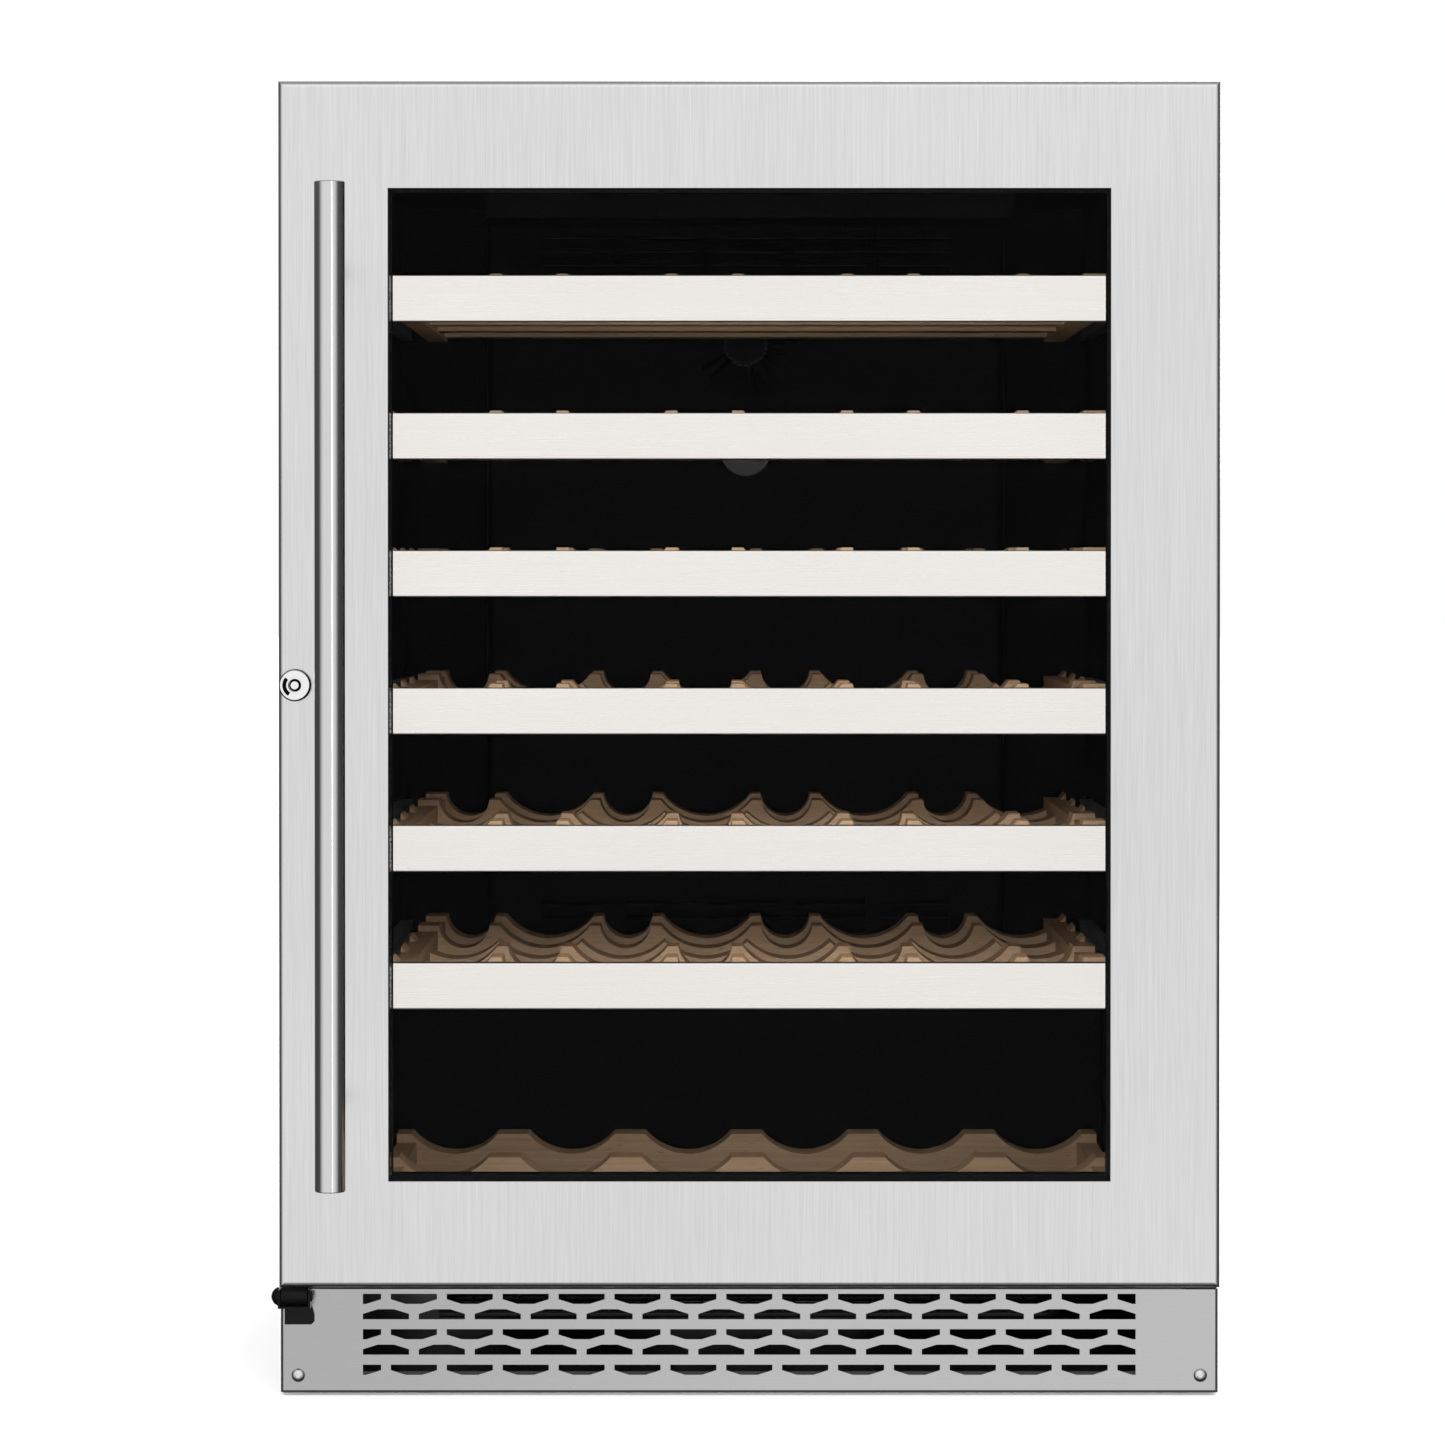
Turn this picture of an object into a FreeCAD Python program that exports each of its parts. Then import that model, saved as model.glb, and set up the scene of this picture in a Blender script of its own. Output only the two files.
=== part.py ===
import FreeCAD, Part
import math
import os

# Built-under wine cooler with one glass door hung on the right. Millimetres.
# +X runs to the hinge side, +Y runs from the door to the back, +Z is up.
# The origin lies on the floor, under the middle of the cooler.

V = FreeCAD.Vector

# Driving dimensions of the whole cooler
WIDTH = 595.0
HEIGHT = 833.0
DOOR_BOTTOM = 70.5
DOOR_FRONT = -260.0
DOOR_THICK = 43.0
SEAL_GAP = 12.0
CASE_DEPTH = 517.0
SHEET = 1.2

# Places worked out from them
HALF = WIDTH / 2
CASE_FRONT = DOOR_FRONT + DOOR_THICK + SEAL_GAP
CASE_BACK = CASE_FRONT + CASE_DEPTH
CASE_TOP = HEIGHT - 4.0
CASE_BOTTOM = 2.0
DOOR_MIDDLE = (DOOR_BOTTOM + HEIGHT) / 2
FOAM_FRONT = CASE_FRONT + SHEET
FOAM_BACK = CASE_BACK - SHEET

# Toe-kick: a plinth under the door, with a slotted steel plate
PLINTH_FRONT = DOOR_FRONT + 14.0
PLINTH_TOP = 68.0
PLATE_INSET = 1.5
SLOT_WIDTH = 29.3
SLOT_PITCH = 35.5
SLOT_HEIGHT = 6.45
SLOT_SIDE = 3.5
SLOT_FLAT = 10.5
SLOT_ROW_TOPS = (64.8, 55.0, 42.3, 32.5, 19.7)
GRILLE_HALF = 7 * SLOT_PITCH - (SLOT_PITCH - SLOT_WIDTH) / 2
KICK_SCREW_X = 286.5
KICK_SCREW_Z = 13.0

# Base tray and feet
TRAY_FLOOR = 14.0
FOOT_X = 262.0
FOOT_Y = CASE_FRONT - 10.0
REAR_FOOT_Y = CASE_BACK - 27.0
PAD_RADIUS = 18.0
PAD_HEIGHT = 9.0
STUD_RADIUS = 5.0
RUNNING_FIT = 0.05

# Cold space: the inside faces of the liner, with a hump over the compressor
ROOM_HALF = 252.5
ROOM_FLOOR = 100.0
ROOM_TOP = 790.0
ROOM_BACK = DOOR_FRONT + 530.0
HUMP_FRONT = DOOR_FRONT + 372.0
HUMP_TOP = 232.0
LINER = 2.0
FOAM_BOTTOM = 66.0
MACHINE_FRONT = HUMP_FRONT + 32.0
MACHINE_TOP = 198.0

# Door: steel skin, plastic frame and a sealed double pane
SKIN_DEPTH = 30.0
SKIN_BEND = 4.0
WINDOW_HALF = 228.25
WINDOW_BOTTOM = DOOR_BOTTOM + 67.5
WINDOW_TOP = HEIGHT - 67.5
PANE_LAP = 14.25
PANE_FRONT = DOOR_FRONT + SHEET
OUTER_PANE = 5.0
PANE_GAP = 12.0
INNER_PANE = 4.0
FRAME_FRONT = PANE_FRONT + OUTER_PANE + 0.3
FRAME_LIP = PANE_FRONT + OUTER_PANE + PANE_GAP + INNER_PANE + 0.5
SPACER_SHOWS = 2.0
SPACER_SHOWS_TOP = 2.5
SPACER_SHOWS_BOTTOM = 4.0
GASKET_HALF = 274.0
GASKET_WIDTH = 16.0

# Hinge line of the door
HINGE_X = 285.0
HINGE_Y = DOOR_FRONT + 22.0
PIN_RADIUS = 4.0
BUSH_RADIUS = 6.0
BUSH_LENGTH = 16.0
RECESS_DEPTH = 5.0
RECESS_WIDTH = 39.5
RECESS_FRONT = DOOR_FRONT + 7.5
ARM_HALF = 7.0

# Handle
BAR_RADIUS = 9.5
BAR_X = -261.5
BAR_Y = DOOR_FRONT - 42.0
BAR_LENGTH = 629.0
POST_RADIUS = 5.5
POST_FROM_END = 52.0

# Lock
LOCK_X = -286.8
LOCK_FACE = DOOR_FRONT - 4.0
LOCK_FLANGE = 10.1
LOCK_BODY = 8.0
PLUG_RADIUS = 5.3
CAM_FRONT = DOOR_FRONT + 47.5
CAM_THICK = 3.0
CAM_REACH = 11.5

# Door support roller
ROLLER_RADIUS = 5.9
ROLLER_LEFT = -296.6
ROLLER_LENGTH = 17.0
ROLLER_Y = DOOR_FRONT + 7.0
ROLLER_Z = DOOR_BOTTOM - 0.3 - ROLLER_RADIUS
AXLE_RADIUS = 2.0
TAB_DROP = 11.5

# Sliding shelves
SHELVES = 6
TOP_SHELF = 714.6
SHELF_PITCH = 88.8
TRIM_HEIGHT = 30.0
TRIM_HALF = 233.0
TRIM_FRONT = DOOR_FRONT + 68.0
TRIM_FLANGE = 8.0
WOOD_FRONT = TRIM_FRONT + SHEET
WOOD_BACK = DOOR_FRONT + 476.0
WOOD_HALF = 232.0
RAIL_WIDTH = 14.0
SLAT_WIDTH = 32.0
SLATS = 5
BOTTLE_PITCH = 57.0
BOTTLE_RADIUS = 40.0
NECK_RADIUS = 18.0
CRADLE_DROP = 14.0
SLIDE_DROP = 13.0

# Bottom rack
RACK_PITCH = 82.0
RACK_TOP = 128.0
RACK_LOW_POINT = 114.0

# Cold air duct on the back wall
DUCT_FRONT = DOOR_FRONT + 490.0
DUCT_HALF = 190.0
DUCT_BOTTOM = 240.0
DUCT_TOP = 780.0
FILTER_RADIUS = 19.5
FILTER_Z = 611.0
COLD_FAN_Z = 690.0
COLD_FAN_RADIUS = 42.0

# Machine space
COMPRESSOR_X = -125.0
MACHINE_Y = MACHINE_FRONT + 82.0
FAN_X = 130.0
FAN_Z = 82.0
FAN_RADIUS = 52.0
FAN_FRAME = 60.0
INLET_X = 215.0
INLET_Z = 120.0


def block(x0, x1, y0, y1, z0, z1):
    """A box between two values on each axis."""
    return Part.makeBox(x1 - x0, y1 - y0, z1 - z0, V(x0, y0, z0))


def rod_x(radius, x0, x1, y, z):
    return Part.makeCylinder(radius, x1 - x0, V(x0, y, z), V(1, 0, 0))


def rod_y(radius, y0, y1, x, z):
    return Part.makeCylinder(radius, y1 - y0, V(x, y0, z), V(0, 1, 0))


def rod_z(radius, z0, z1, x, y):
    return Part.makeCylinder(radius, z1 - z0, V(x, y, z0), V(0, 0, 1))


def prism(points, push):
    """A closed outline of points, pushed along a vector."""
    corners = [V(*p) for p in points]
    return Part.Face(Part.makePolygon(corners + corners[:1])).extrude(push)


def prism_x(outline, x0, x1):
    """An outline of (y, z) points, pushed along X."""
    return prism([(x0, y, z) for y, z in outline], V(x1 - x0, 0, 0))


def prism_y(outline, y0, y1):
    """An outline of (x, z) points, pushed along Y."""
    return prism([(x, y0, z) for x, z in outline], V(0, y1 - y0, 0))


def join(shapes):
    """Several touching or overlapping shapes as one solid."""
    return shapes[0].multiFuse(shapes[1:]).removeSplitter()


def edges_where(shape, test):
    """The edges whose two ends both pass a test."""
    return [e for e in shape.Edges if all(test(v.Point) for v in e.Vertexes)]


def frame(half, low, high, border, y0, y1):
    """A rectangular picture frame in the X-Z plane, with one border width all round."""
    outer = block(-half, half, y0, y1, low, high)
    return outer.cut(block(border - half, half - border, y0, y1, low + border, high - border))


def pipe(points, bend, radius):
    """A round pipe through points, with a bend of one radius at each inner point."""
    edges = []
    start = V(*points[0])
    for before, at, after in zip(points, points[1:], points[2:]):
        into = (V(*at) - V(*before)).normalize()
        out = (V(*after) - V(*at)).normalize()
        cut_back = bend * math.tan(into.getAngle(out) / 2)
        first = V(*at) - into * cut_back
        last = V(*at) + out * cut_back
        centre_way = (out - into).normalize()
        centre = V(*at) + centre_way * math.hypot(bend, cut_back)
        middle = centre - centre_way * bend
        if (first - start).Length > 1e-6:
            edges.append(Part.makeLine(start, first))
        edges.append(Part.Arc(first, middle, last).toShape())
        start = last
    edges.append(Part.makeLine(start, V(*points[-1])))
    way = (V(*points[1]) - V(*points[0])).normalize()
    section = Part.Wire(Part.makeCircle(radius, V(*points[0]), way))
    return Part.Wire(edges).makePipeShell([section], True, True)


def fan(x, y0, y1, z, radius, hub, blades, bore):
    """A fan wheel on a Y axis: a hub with a shaft bore and pitched blades."""
    middle = (y0 + y1) / 2
    wheel = [rod_y(hub, y0, y1, x, z)]
    for i in range(blades):
        blade = block(x + hub - 2, x + radius, middle - 0.8, middle + 0.8, z - hub / 2, z + hub / 2)
        blade.rotate(V(x, middle, z), V(1, 0, 0), 50)
        blade.rotate(V(x, middle, z), V(0, 1, 0), 360 * i / blades)
        wheel.append(blade)
    return join(wheel).cut(rod_y(bore, y0, y1, x, z))


def pan_screw(head, way, x, y, z, length):
    """A pan-head screw: its head stands against its way in, its shank goes length along it."""
    cap = Part.makeSphere(head * 1.25, V(0, 0, 0))
    flat = head * 0.75
    cap = cap.common(Part.makeCylinder(head, head, V(0, 0, flat), V(0, 0, 1)))
    cap.translate(V(0, 0, -flat))
    socket = block(-head / 2, head / 2, -0.5, 0.5, head * 0.3, head)
    cap = cap.cut(socket)
    screw = cap.fuse(Part.makeCylinder(head / 2.2, length, V(0, 0, -length), V(0, 0, 1)))
    turn = FreeCAD.Rotation(V(0, 0, 1), V(*way) * -1)
    screw.Placement = FreeCAD.Placement(V(x, y, z), turn)
    return screw


# Cabinet

def side_panel(side):
    """One painted side sheet, which reaches forward under the door as the plinth's end."""
    outline = [
        (PLINTH_FRONT, CASE_BOTTOM), (FOAM_BACK, CASE_BOTTOM), (FOAM_BACK, CASE_TOP - SHEET),
        (FOAM_FRONT, CASE_TOP - SHEET), (FOAM_FRONT, PLINTH_TOP), (PLINTH_FRONT, PLINTH_TOP),
    ]
    x0 = -HALF if side < 0 else HALF - SHEET
    panel = prism_x(outline, x0, x0 + SHEET)
    toe = edges_where(panel, lambda p: p.y < PLINTH_FRONT + 0.1 and p.z < CASE_BOTTOM + 0.1)
    return panel.makeFillet(1.5, toe)


def top_panel():
    """The painted roof sheet."""
    return block(-HALF, HALF, FOAM_FRONT, FOAM_BACK, CASE_TOP - SHEET, CASE_TOP)


def back_panel():
    """The back sheet, with air slots at the machine space and a hole for the power inlet."""
    panel = block(-HALF, HALF, FOAM_BACK, CASE_BACK, CASE_BOTTOM, CASE_TOP)
    slots = []
    for column in range(4):
        for row in range(8):
            x = -250 + 95 * column
            z = 40 + 16 * row
            slots.append(block(x, x + 70, FOAM_BACK, CASE_BACK, z, z + 6))
    hole = block(INLET_X - 24, INLET_X + 24, FOAM_BACK, CASE_BACK, INLET_Z - 14, INLET_Z + 14)
    return panel.cut(slots + [hole])


def front_frame():
    """The steel face round the cold space, which the door's magnetic seal grips."""
    face = block(-HALF, HALF, CASE_FRONT, FOAM_FRONT, PLINTH_TOP, CASE_TOP)
    return face.cut(block(-ROOM_HALF, ROOM_HALF, CASE_FRONT, FOAM_FRONT, ROOM_FLOOR, ROOM_TOP))


def base_tray():
    """The folded floor tray, with a threaded boss for each front foot."""
    reach = HALF - SHEET
    rail = PLINTH_FRONT + SHEET
    tray = [
        block(-reach, reach, rail, FOAM_BACK, TRAY_FLOOR, TRAY_FLOOR + SHEET),
        block(-reach, reach, rail, rail + SHEET, CASE_BOTTOM, TRAY_FLOOR),
        block(-reach, reach, PLINTH_FRONT, rail, CASE_BOTTOM, CASE_BOTTOM + 1.4),
        block(-reach, reach, FOAM_BACK - SHEET, FOAM_BACK, CASE_BOTTOM, TRAY_FLOOR),
    ]
    holes = []
    for side in (-1, 1):
        tray.append(rod_z(9, TRAY_FLOOR, TRAY_FLOOR + 11, side * FOOT_X, FOOT_Y))
        bore = STUD_RADIUS + RUNNING_FIT
        holes.append(rod_z(bore, TRAY_FLOOR, TRAY_FLOOR + 11, side * FOOT_X, FOOT_Y))
        holes.append(rod_y(2.2, rail, rail + SHEET, side * KICK_SCREW_X, KICK_SCREW_Z - 1.2))
    return join(tray).cut(holes)


def slot_outline(x, top, flipped, left=None, right=None):
    """One grille slot: straight above and chamfered below, or the other way up."""
    half = SLOT_WIDTH / 2
    left = x - half if left is None else left
    right = x + half if right is None else right
    slope = (half - SLOT_FLAT / 2)
    outline = [
        (left, 0), (right, 0), (right, -SLOT_SIDE),
        (max(right - slope, left + 2), -SLOT_HEIGHT), (min(left + slope, right - 2), -SLOT_HEIGHT),
        (left, -SLOT_SIDE),
    ]
    if left > x - half:
        outline[4] = (left, -SLOT_HEIGHT)
        outline.pop()
    if right < x + half:
        outline[3] = (right, -SLOT_HEIGHT)
        outline.pop(2)
    if flipped:
        return [(px, top - SLOT_HEIGHT - pz) for px, pz in outline]
    return [(px, top + pz) for px, pz in outline]


def toe_kick_grille():
    """The stainless plinth plate: five rows of slots, staggered, with a top folded back."""
    half = HALF - PLATE_INSET
    low = CASE_BOTTOM + PLATE_INSET
    plate = join([
        block(-half, half, PLINTH_FRONT, PLINTH_FRONT + SHEET, low, PLINTH_TOP),
        block(-half, half, PLINTH_FRONT, CASE_FRONT, PLINTH_TOP - SHEET, PLINTH_TOP),
    ])
    fold = edges_where(plate, lambda p: p.y < PLINTH_FRONT + 0.1 and p.z > PLINTH_TOP - 0.1)
    plate = plate.makeFillet(1.0, fold)
    slots = []
    for row, top in enumerate(SLOT_ROW_TOPS):
        staggered = row % 2 == 1
        for i in range(14 if staggered else 15):
            x = (i - 6.5 if staggered else i - 7) * SLOT_PITCH
            left = -GRILLE_HALF if x - SLOT_WIDTH / 2 < -GRILLE_HALF - 1 else None
            right = GRILLE_HALF if x + SLOT_WIDTH / 2 > GRILLE_HALF + 1 else None
            outline = slot_outline(x, top, staggered, left, right)
            slots.append(prism_y(outline, PLINTH_FRONT - 1, PLINTH_FRONT + SHEET + 1))
    for side in (-1, 1):
        slots.append(rod_y(2.2, PLINTH_FRONT - 1, PLINTH_FRONT + 2, side * KICK_SCREW_X, KICK_SCREW_Z))
    return plate.cut(slots)


def cabinet_screws():
    """Every screw on the cabinet: plinth plate, upper hinge, lower hinge and lock keeper."""
    screws = []
    for side in (-1, 1):
        x = side * KICK_SCREW_X
        screws.append(pan_screw(4.3, (0, 1, 0), x, PLINTH_FRONT, KICK_SCREW_Z, SHEET))
    for x in (250, 268, 286):
        screws.append(pan_screw(4.0, (0, 0, -1), x, CASE_FRONT + 35, CASE_TOP + 3, 3))
    screws.append(pan_screw(3.5, (0, 1, 0), 288, CASE_FRONT - 3, 82, 3))
    screws.append(pan_screw(3.5, (0, 1, 0), 288, CASE_FRONT - 3, 94, 3))
    screws.append(pan_screw(2.4, (0, 1, 0), -278.2, CASE_FRONT - 2, DOOR_MIDDLE - 20, 2))
    return Part.makeCompound(screws)


def room_outline(grow):
    """The cold space's side outline in Y-Z, grown outwards by a wall."""
    return [
        (FOAM_FRONT, ROOM_FLOOR - grow), (HUMP_FRONT + grow, ROOM_FLOOR - grow),
        (HUMP_FRONT + grow, HUMP_TOP - grow), (ROOM_BACK + grow, HUMP_TOP - grow),
        (ROOM_BACK + grow, ROOM_TOP + grow), (FOAM_FRONT, ROOM_TOP + grow),
    ]


def inner_liner():
    """The moulded liner, open at the front, with a hump over the machine space."""
    outer = prism_x(room_outline(LINER), -ROOM_HALF - LINER, ROOM_HALF + LINER)
    return outer.cut(prism_x(room_outline(0), -ROOM_HALF, ROOM_HALF))


def insulation_foam():
    """The foam between liner and case, cut away over the machine space."""
    reach = HALF - SHEET
    foam = block(-reach, reach, FOAM_FRONT, FOAM_BACK, FOAM_BOTTOM, CASE_TOP - SHEET)
    room = prism_x(room_outline(LINER), -ROOM_HALF - LINER, ROOM_HALF + LINER)
    machine = block(-reach, reach, MACHINE_FRONT, FOAM_BACK, FOAM_BOTTOM, MACHINE_TOP)
    return foam.cut([room, machine])


def upper_hinge_bracket():
    """A plate on the roof with a narrow arm over the door, carrying the upper pin."""
    low = CASE_TOP
    high = CASE_TOP + 3
    plate = block(240, 295, CASE_FRONT + 2, CASE_FRONT + 50, low, high)
    arm = block(HINGE_X - ARM_HALF, HINGE_X + ARM_HALF, HINGE_Y, CASE_FRONT + 10, low, high)
    nose = rod_z(ARM_HALF, low, high, HINGE_X, HINGE_Y)
    pin = rod_z(PIN_RADIUS, low - 15, high, HINGE_X, HINGE_Y)
    bracket = join([plate, arm, nose, pin])
    return bracket.cut([rod_z(2, low, high, x, CASE_FRONT + 35) for x in (250, 268, 286)])


def lower_hinge_bracket():
    """An angle on the plinth's top and the front face, carrying the lower pin."""
    foot = block(276, 296.5, HINGE_Y - 8, CASE_FRONT, PLINTH_TOP, PLINTH_TOP + 2.2)
    leg = block(280, 296.5, CASE_FRONT - 3, CASE_FRONT, PLINTH_TOP, 102)
    pin = rod_z(PIN_RADIUS, PLINTH_TOP, DOOR_BOTTOM + 15, HINGE_X, HINGE_Y)
    bracket = join([foot, leg, pin])
    return bracket.cut([rod_y(2, CASE_FRONT - 4, CASE_FRONT, 288, z) for z in (82, 94)])


def lock_keeper():
    """The hook on the front face that the lock's cam turns behind."""
    left = -281.0
    right = -275.4
    lip_front = DOOR_FRONT + 44.5
    low = DOOR_MIDDLE - 8.25
    keeper = join([
        block(left, right, CASE_FRONT - 2, CASE_FRONT, DOOR_MIDDLE - 26, DOOR_MIDDLE + 6),
        block(left, right, lip_front, CASE_FRONT - 2, low, low + 2.5),
        block(left, right, lip_front, lip_front + 2, low, DOOR_MIDDLE + 5),
    ])
    return keeper.cut(rod_y(1.2, CASE_FRONT - 3, CASE_FRONT, -278.2, DOOR_MIDDLE - 20))


def roller_bracket():
    """A small fork on the plinth with the roller's riveted axle, its round head outside."""
    right = ROLLER_LEFT + ROLLER_LENGTH
    floor = ROLLER_Z - ROLLER_RADIUS - 1.4
    ears = [
        block(x, x + 1.2, ROLLER_Y - 4.5, PLINTH_FRONT, floor, ROLLER_Z + 4.5)
        for x in (ROLLER_LEFT - 1.8, right + 0.6)
    ]
    low = floor - TAB_DROP
    left = 1 - HALF + PLATE_INSET
    outline = [(left, floor + 1), (right + 1.8, floor + 1), (right + 3.5, floor - 5), (right + 3.5, low + 2),
               (right + 1.5, low), (left, low)]
    tab = prism_y(outline, PLINTH_FRONT - SHEET, PLINTH_FRONT)
    shelf = block(ROLLER_LEFT - 1.8, right + 1.8, ROLLER_Y - 4.5, PLINTH_FRONT, floor, floor + 1)
    axle = rod_x(AXLE_RADIUS, ROLLER_LEFT - 3, right + 3.2, ROLLER_Y, ROLLER_Z)
    head = Part.makeSphere(6.2, V(ROLLER_LEFT, ROLLER_Y, ROLLER_Z))
    head = head.common(rod_x(7, ROLLER_LEFT - 7, ROLLER_LEFT - 1.8, ROLLER_Y, ROLLER_Z))
    clip = rod_x(3.4, right + 1.9, right + 2.7, ROLLER_Y, ROLLER_Z)
    return join(ears + [shelf, tab, axle, head, clip])


def rear_feet():
    """Two fixed glides under the back of the tray."""
    return Part.makeCompound([
        rod_z(15, 0, TRAY_FLOOR, side * FOOT_X, REAR_FOOT_Y) for side in (-1, 1)
    ])


def front_foot(side):
    """One levelling foot: a pad on a threaded stud."""
    pad = rod_z(PAD_RADIUS, 0, PAD_HEIGHT, side * FOOT_X, FOOT_Y)
    rim = edges_where(pad, lambda p: p.z > PAD_HEIGHT - 0.1)
    pad = pad.makeFillet(2, [e for e in rim if e.Closed])
    nut = rod_z(9, PAD_HEIGHT, PAD_HEIGHT + 4, side * FOOT_X, FOOT_Y)
    stud = rod_z(STUD_RADIUS, PAD_HEIGHT, 60, side * FOOT_X, FOOT_Y)
    return join([pad, nut, stud])


# Inside the cold space

def shelf_top(number):
    return TOP_SHELF - SHELF_PITCH * (number - 1)


def cradle(centres, low_point, y0, y1):
    """Cutters for bottle cradles: rods along Y, one for each (x, radius), down to one height."""
    return [rod_y(r, y0, y1, x, low_point + r) for x, r in centres]


def shelf_wood(number):
    """A beech tray: two side rails and five cross slats, hollowed for bottles set head to tail."""
    top = shelf_top(number)
    low = top - 24
    pieces = []
    for side in (-1, 1):
        x = side * (WOOD_HALF - RAIL_WIDTH / 2)
        pieces.append(block(x - RAIL_WIDTH / 2, x + RAIL_WIDTH / 2, WOOD_FRONT, WOOD_BACK, low, top - 2))
    pieces.append(block(-WOOD_HALF, WOOD_HALF, WOOD_FRONT, WOOD_FRONT + 16, low, top - 2))
    first = WOOD_FRONT + 16
    step = (WOOD_BACK - SLAT_WIDTH - first) / (SLATS - 1)
    for i in range(SLATS):
        y = first + step * i
        slat = block(-WOOD_HALF, WOOD_HALF, y, y + SLAT_WIDTH, low + 2, top + 2)
        centres = []
        for place in range(8):
            x = (place - 3.5) * BOTTLE_PITCH
            body_here = i == 2 or (place % 2 == 0) == (i < 2)
            centres.append((x, BOTTLE_RADIUS if body_here else NECK_RADIUS))
        pieces.append(slat.cut(cradle(centres, top - CRADLE_DROP, y, y + SLAT_WIDTH)))
    return join(pieces)


def shelf_trim(number):
    """The brushed steel front: a face with its top and bottom folded back."""
    top = shelf_top(number)
    low = top - TRIM_HEIGHT
    trim = join([
        block(-TRIM_HALF, TRIM_HALF, TRIM_FRONT, TRIM_FRONT + SHEET, low, top),
        block(-TRIM_HALF, TRIM_HALF, TRIM_FRONT, TRIM_FRONT + TRIM_FLANGE, top - SHEET, top),
        block(-TRIM_HALF, TRIM_HALF, TRIM_FRONT, TRIM_FRONT + TRIM_FLANGE, low, low + SHEET),
    ])
    folds = edges_where(trim, lambda p: p.y < TRIM_FRONT + 0.1 and abs(p.z - top) < 0.1)
    folds += edges_where(trim, lambda p: p.y < TRIM_FRONT + 0.1 and abs(p.z - low) < 0.1)
    return trim.makeFillet(1.0, folds)


def shelf_runners(number):
    """The two moving slide members: a web on the wood rail, and a bead in the channel.

    The bead starts well behind the shelf's front, to stay clear of the swinging door's seal.
    """
    z = shelf_top(number) - SLIDE_DROP
    web_front = TRIM_FRONT + TRIM_FLANGE + 2
    bead_front = TRIM_FRONT + 56
    members = [
        (WOOD_HALF, WOOD_HALF + 1.5, web_front, 9), (WOOD_HALF, 249, bead_front, 1.2),
        (247, 249.5, bead_front, 6.5),
    ]
    runners = []
    for side in (-1, 1):
        solids = []
        for inner, outer, front, half in members:
            x0, x1 = sorted((side * inner, side * outer))
            solids.append(block(x0, x1, front, WOOD_BACK - 4, z - half, z + half))
        runners.append(join(solids))
    return Part.makeCompound(runners)


def slide_channels():
    """Twelve fixed slide channels on the liner's walls, two for each shelf."""
    channels = []
    for number in range(1, SHELVES + 1):
        z = shelf_top(number) - SLIDE_DROP
        for side in (-1, 1):
            x0, x1 = sorted((side * 244.0, side * ROOM_HALF))
            channel = block(x0, x1, TRIM_FRONT + 6, WOOD_BACK - 4, z - 10, z + 10)
            h0, h1 = sorted((side * 245.5, side * (ROOM_HALF - 1.5)))
            hollow = block(h0, h1, TRIM_FRONT + 5, WOOD_BACK, z - 8.5, z + 8.5)
            m0, m1 = sorted((side * 243.0, side * 246.0))
            mouth = block(m0, m1, TRIM_FRONT + 5, WOOD_BACK, z - 3, z + 3)
            channels.append(channel.cut([hollow, mouth]))
    return Part.makeCompound(channels)


def lower_rack():
    """The fixed beech rack on the floor, cradling a row of bottles."""
    front = TRIM_FRONT + 2
    back = HUMP_FRONT - 12
    centres = [((i - 2.5) * RACK_PITCH, RACK_PITCH / 2 - 1.5) for i in range(6)]
    pieces = [
        block(side * 238.5 - 7, side * 238.5 + 7, front, back, ROOM_FLOOR, RACK_TOP - 6)
        for side in (-1, 1)
    ]
    for y in (front, (front + back) / 2 - 14, back - 28):
        slat = block(-245.5, 245.5, y, y + 28, ROOM_FLOOR, RACK_TOP)
        pieces.append(slat.cut(cradle(centres, RACK_LOW_POINT, y, y + 28)))
    return join(pieces)


def control_panel():
    """The touch panel and lamp housing under the roof's front edge."""
    front = FOAM_FRONT + 4
    outline = [
        (front, ROOM_TOP), (front, ROOM_TOP - 24), (front + 10, ROOM_TOP - 38),
        (front + 52, ROOM_TOP - 30), (front + 60, ROOM_TOP - 20), (front + 60, ROOM_TOP),
    ]
    return prism_x(outline, -170, 170)


def air_duct_cover():
    """The cold air duct's cover: a shallow tray with slots, and the fan's stub shaft behind."""
    cover = block(-DUCT_HALF, DUCT_HALF, DUCT_FRONT, ROOM_BACK, DUCT_BOTTOM, DUCT_TOP)
    soft = edges_where(cover, lambda p: p.y < DUCT_FRONT + 0.1)
    cover = cover.makeFillet(6, soft)
    cover = cover.cut(block(-DUCT_HALF + 3, DUCT_HALF - 3, DUCT_FRONT + 3, ROOM_BACK,
                            DUCT_BOTTOM + 3, DUCT_TOP - 3))
    slots = []
    for z in (258, 268, 278, 742, 752, 762):
        for column in range(5):
            x = (column - 2) * 62
            slots.append(block(x - 26, x + 26, DUCT_FRONT - 1, DUCT_FRONT + 4, z, z + 5))
    for angle in range(0, 360, 15):
        slot = block(14, 38, DUCT_FRONT - 1, DUCT_FRONT + 4, COLD_FAN_Z - 1.6, COLD_FAN_Z + 1.6)
        slot.rotate(V(0, 0, COLD_FAN_Z), V(0, 1, 0), angle)
        slots.append(slot)
    cover = cover.cut(slots)
    shaft = rod_y(3, DUCT_FRONT + 2, DUCT_FRONT + 30, 0, COLD_FAN_Z)
    boss = rod_y(9, DUCT_FRONT + 2, DUCT_FRONT + 6, 0, COLD_FAN_Z)
    return join([cover, boss, shaft])


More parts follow.
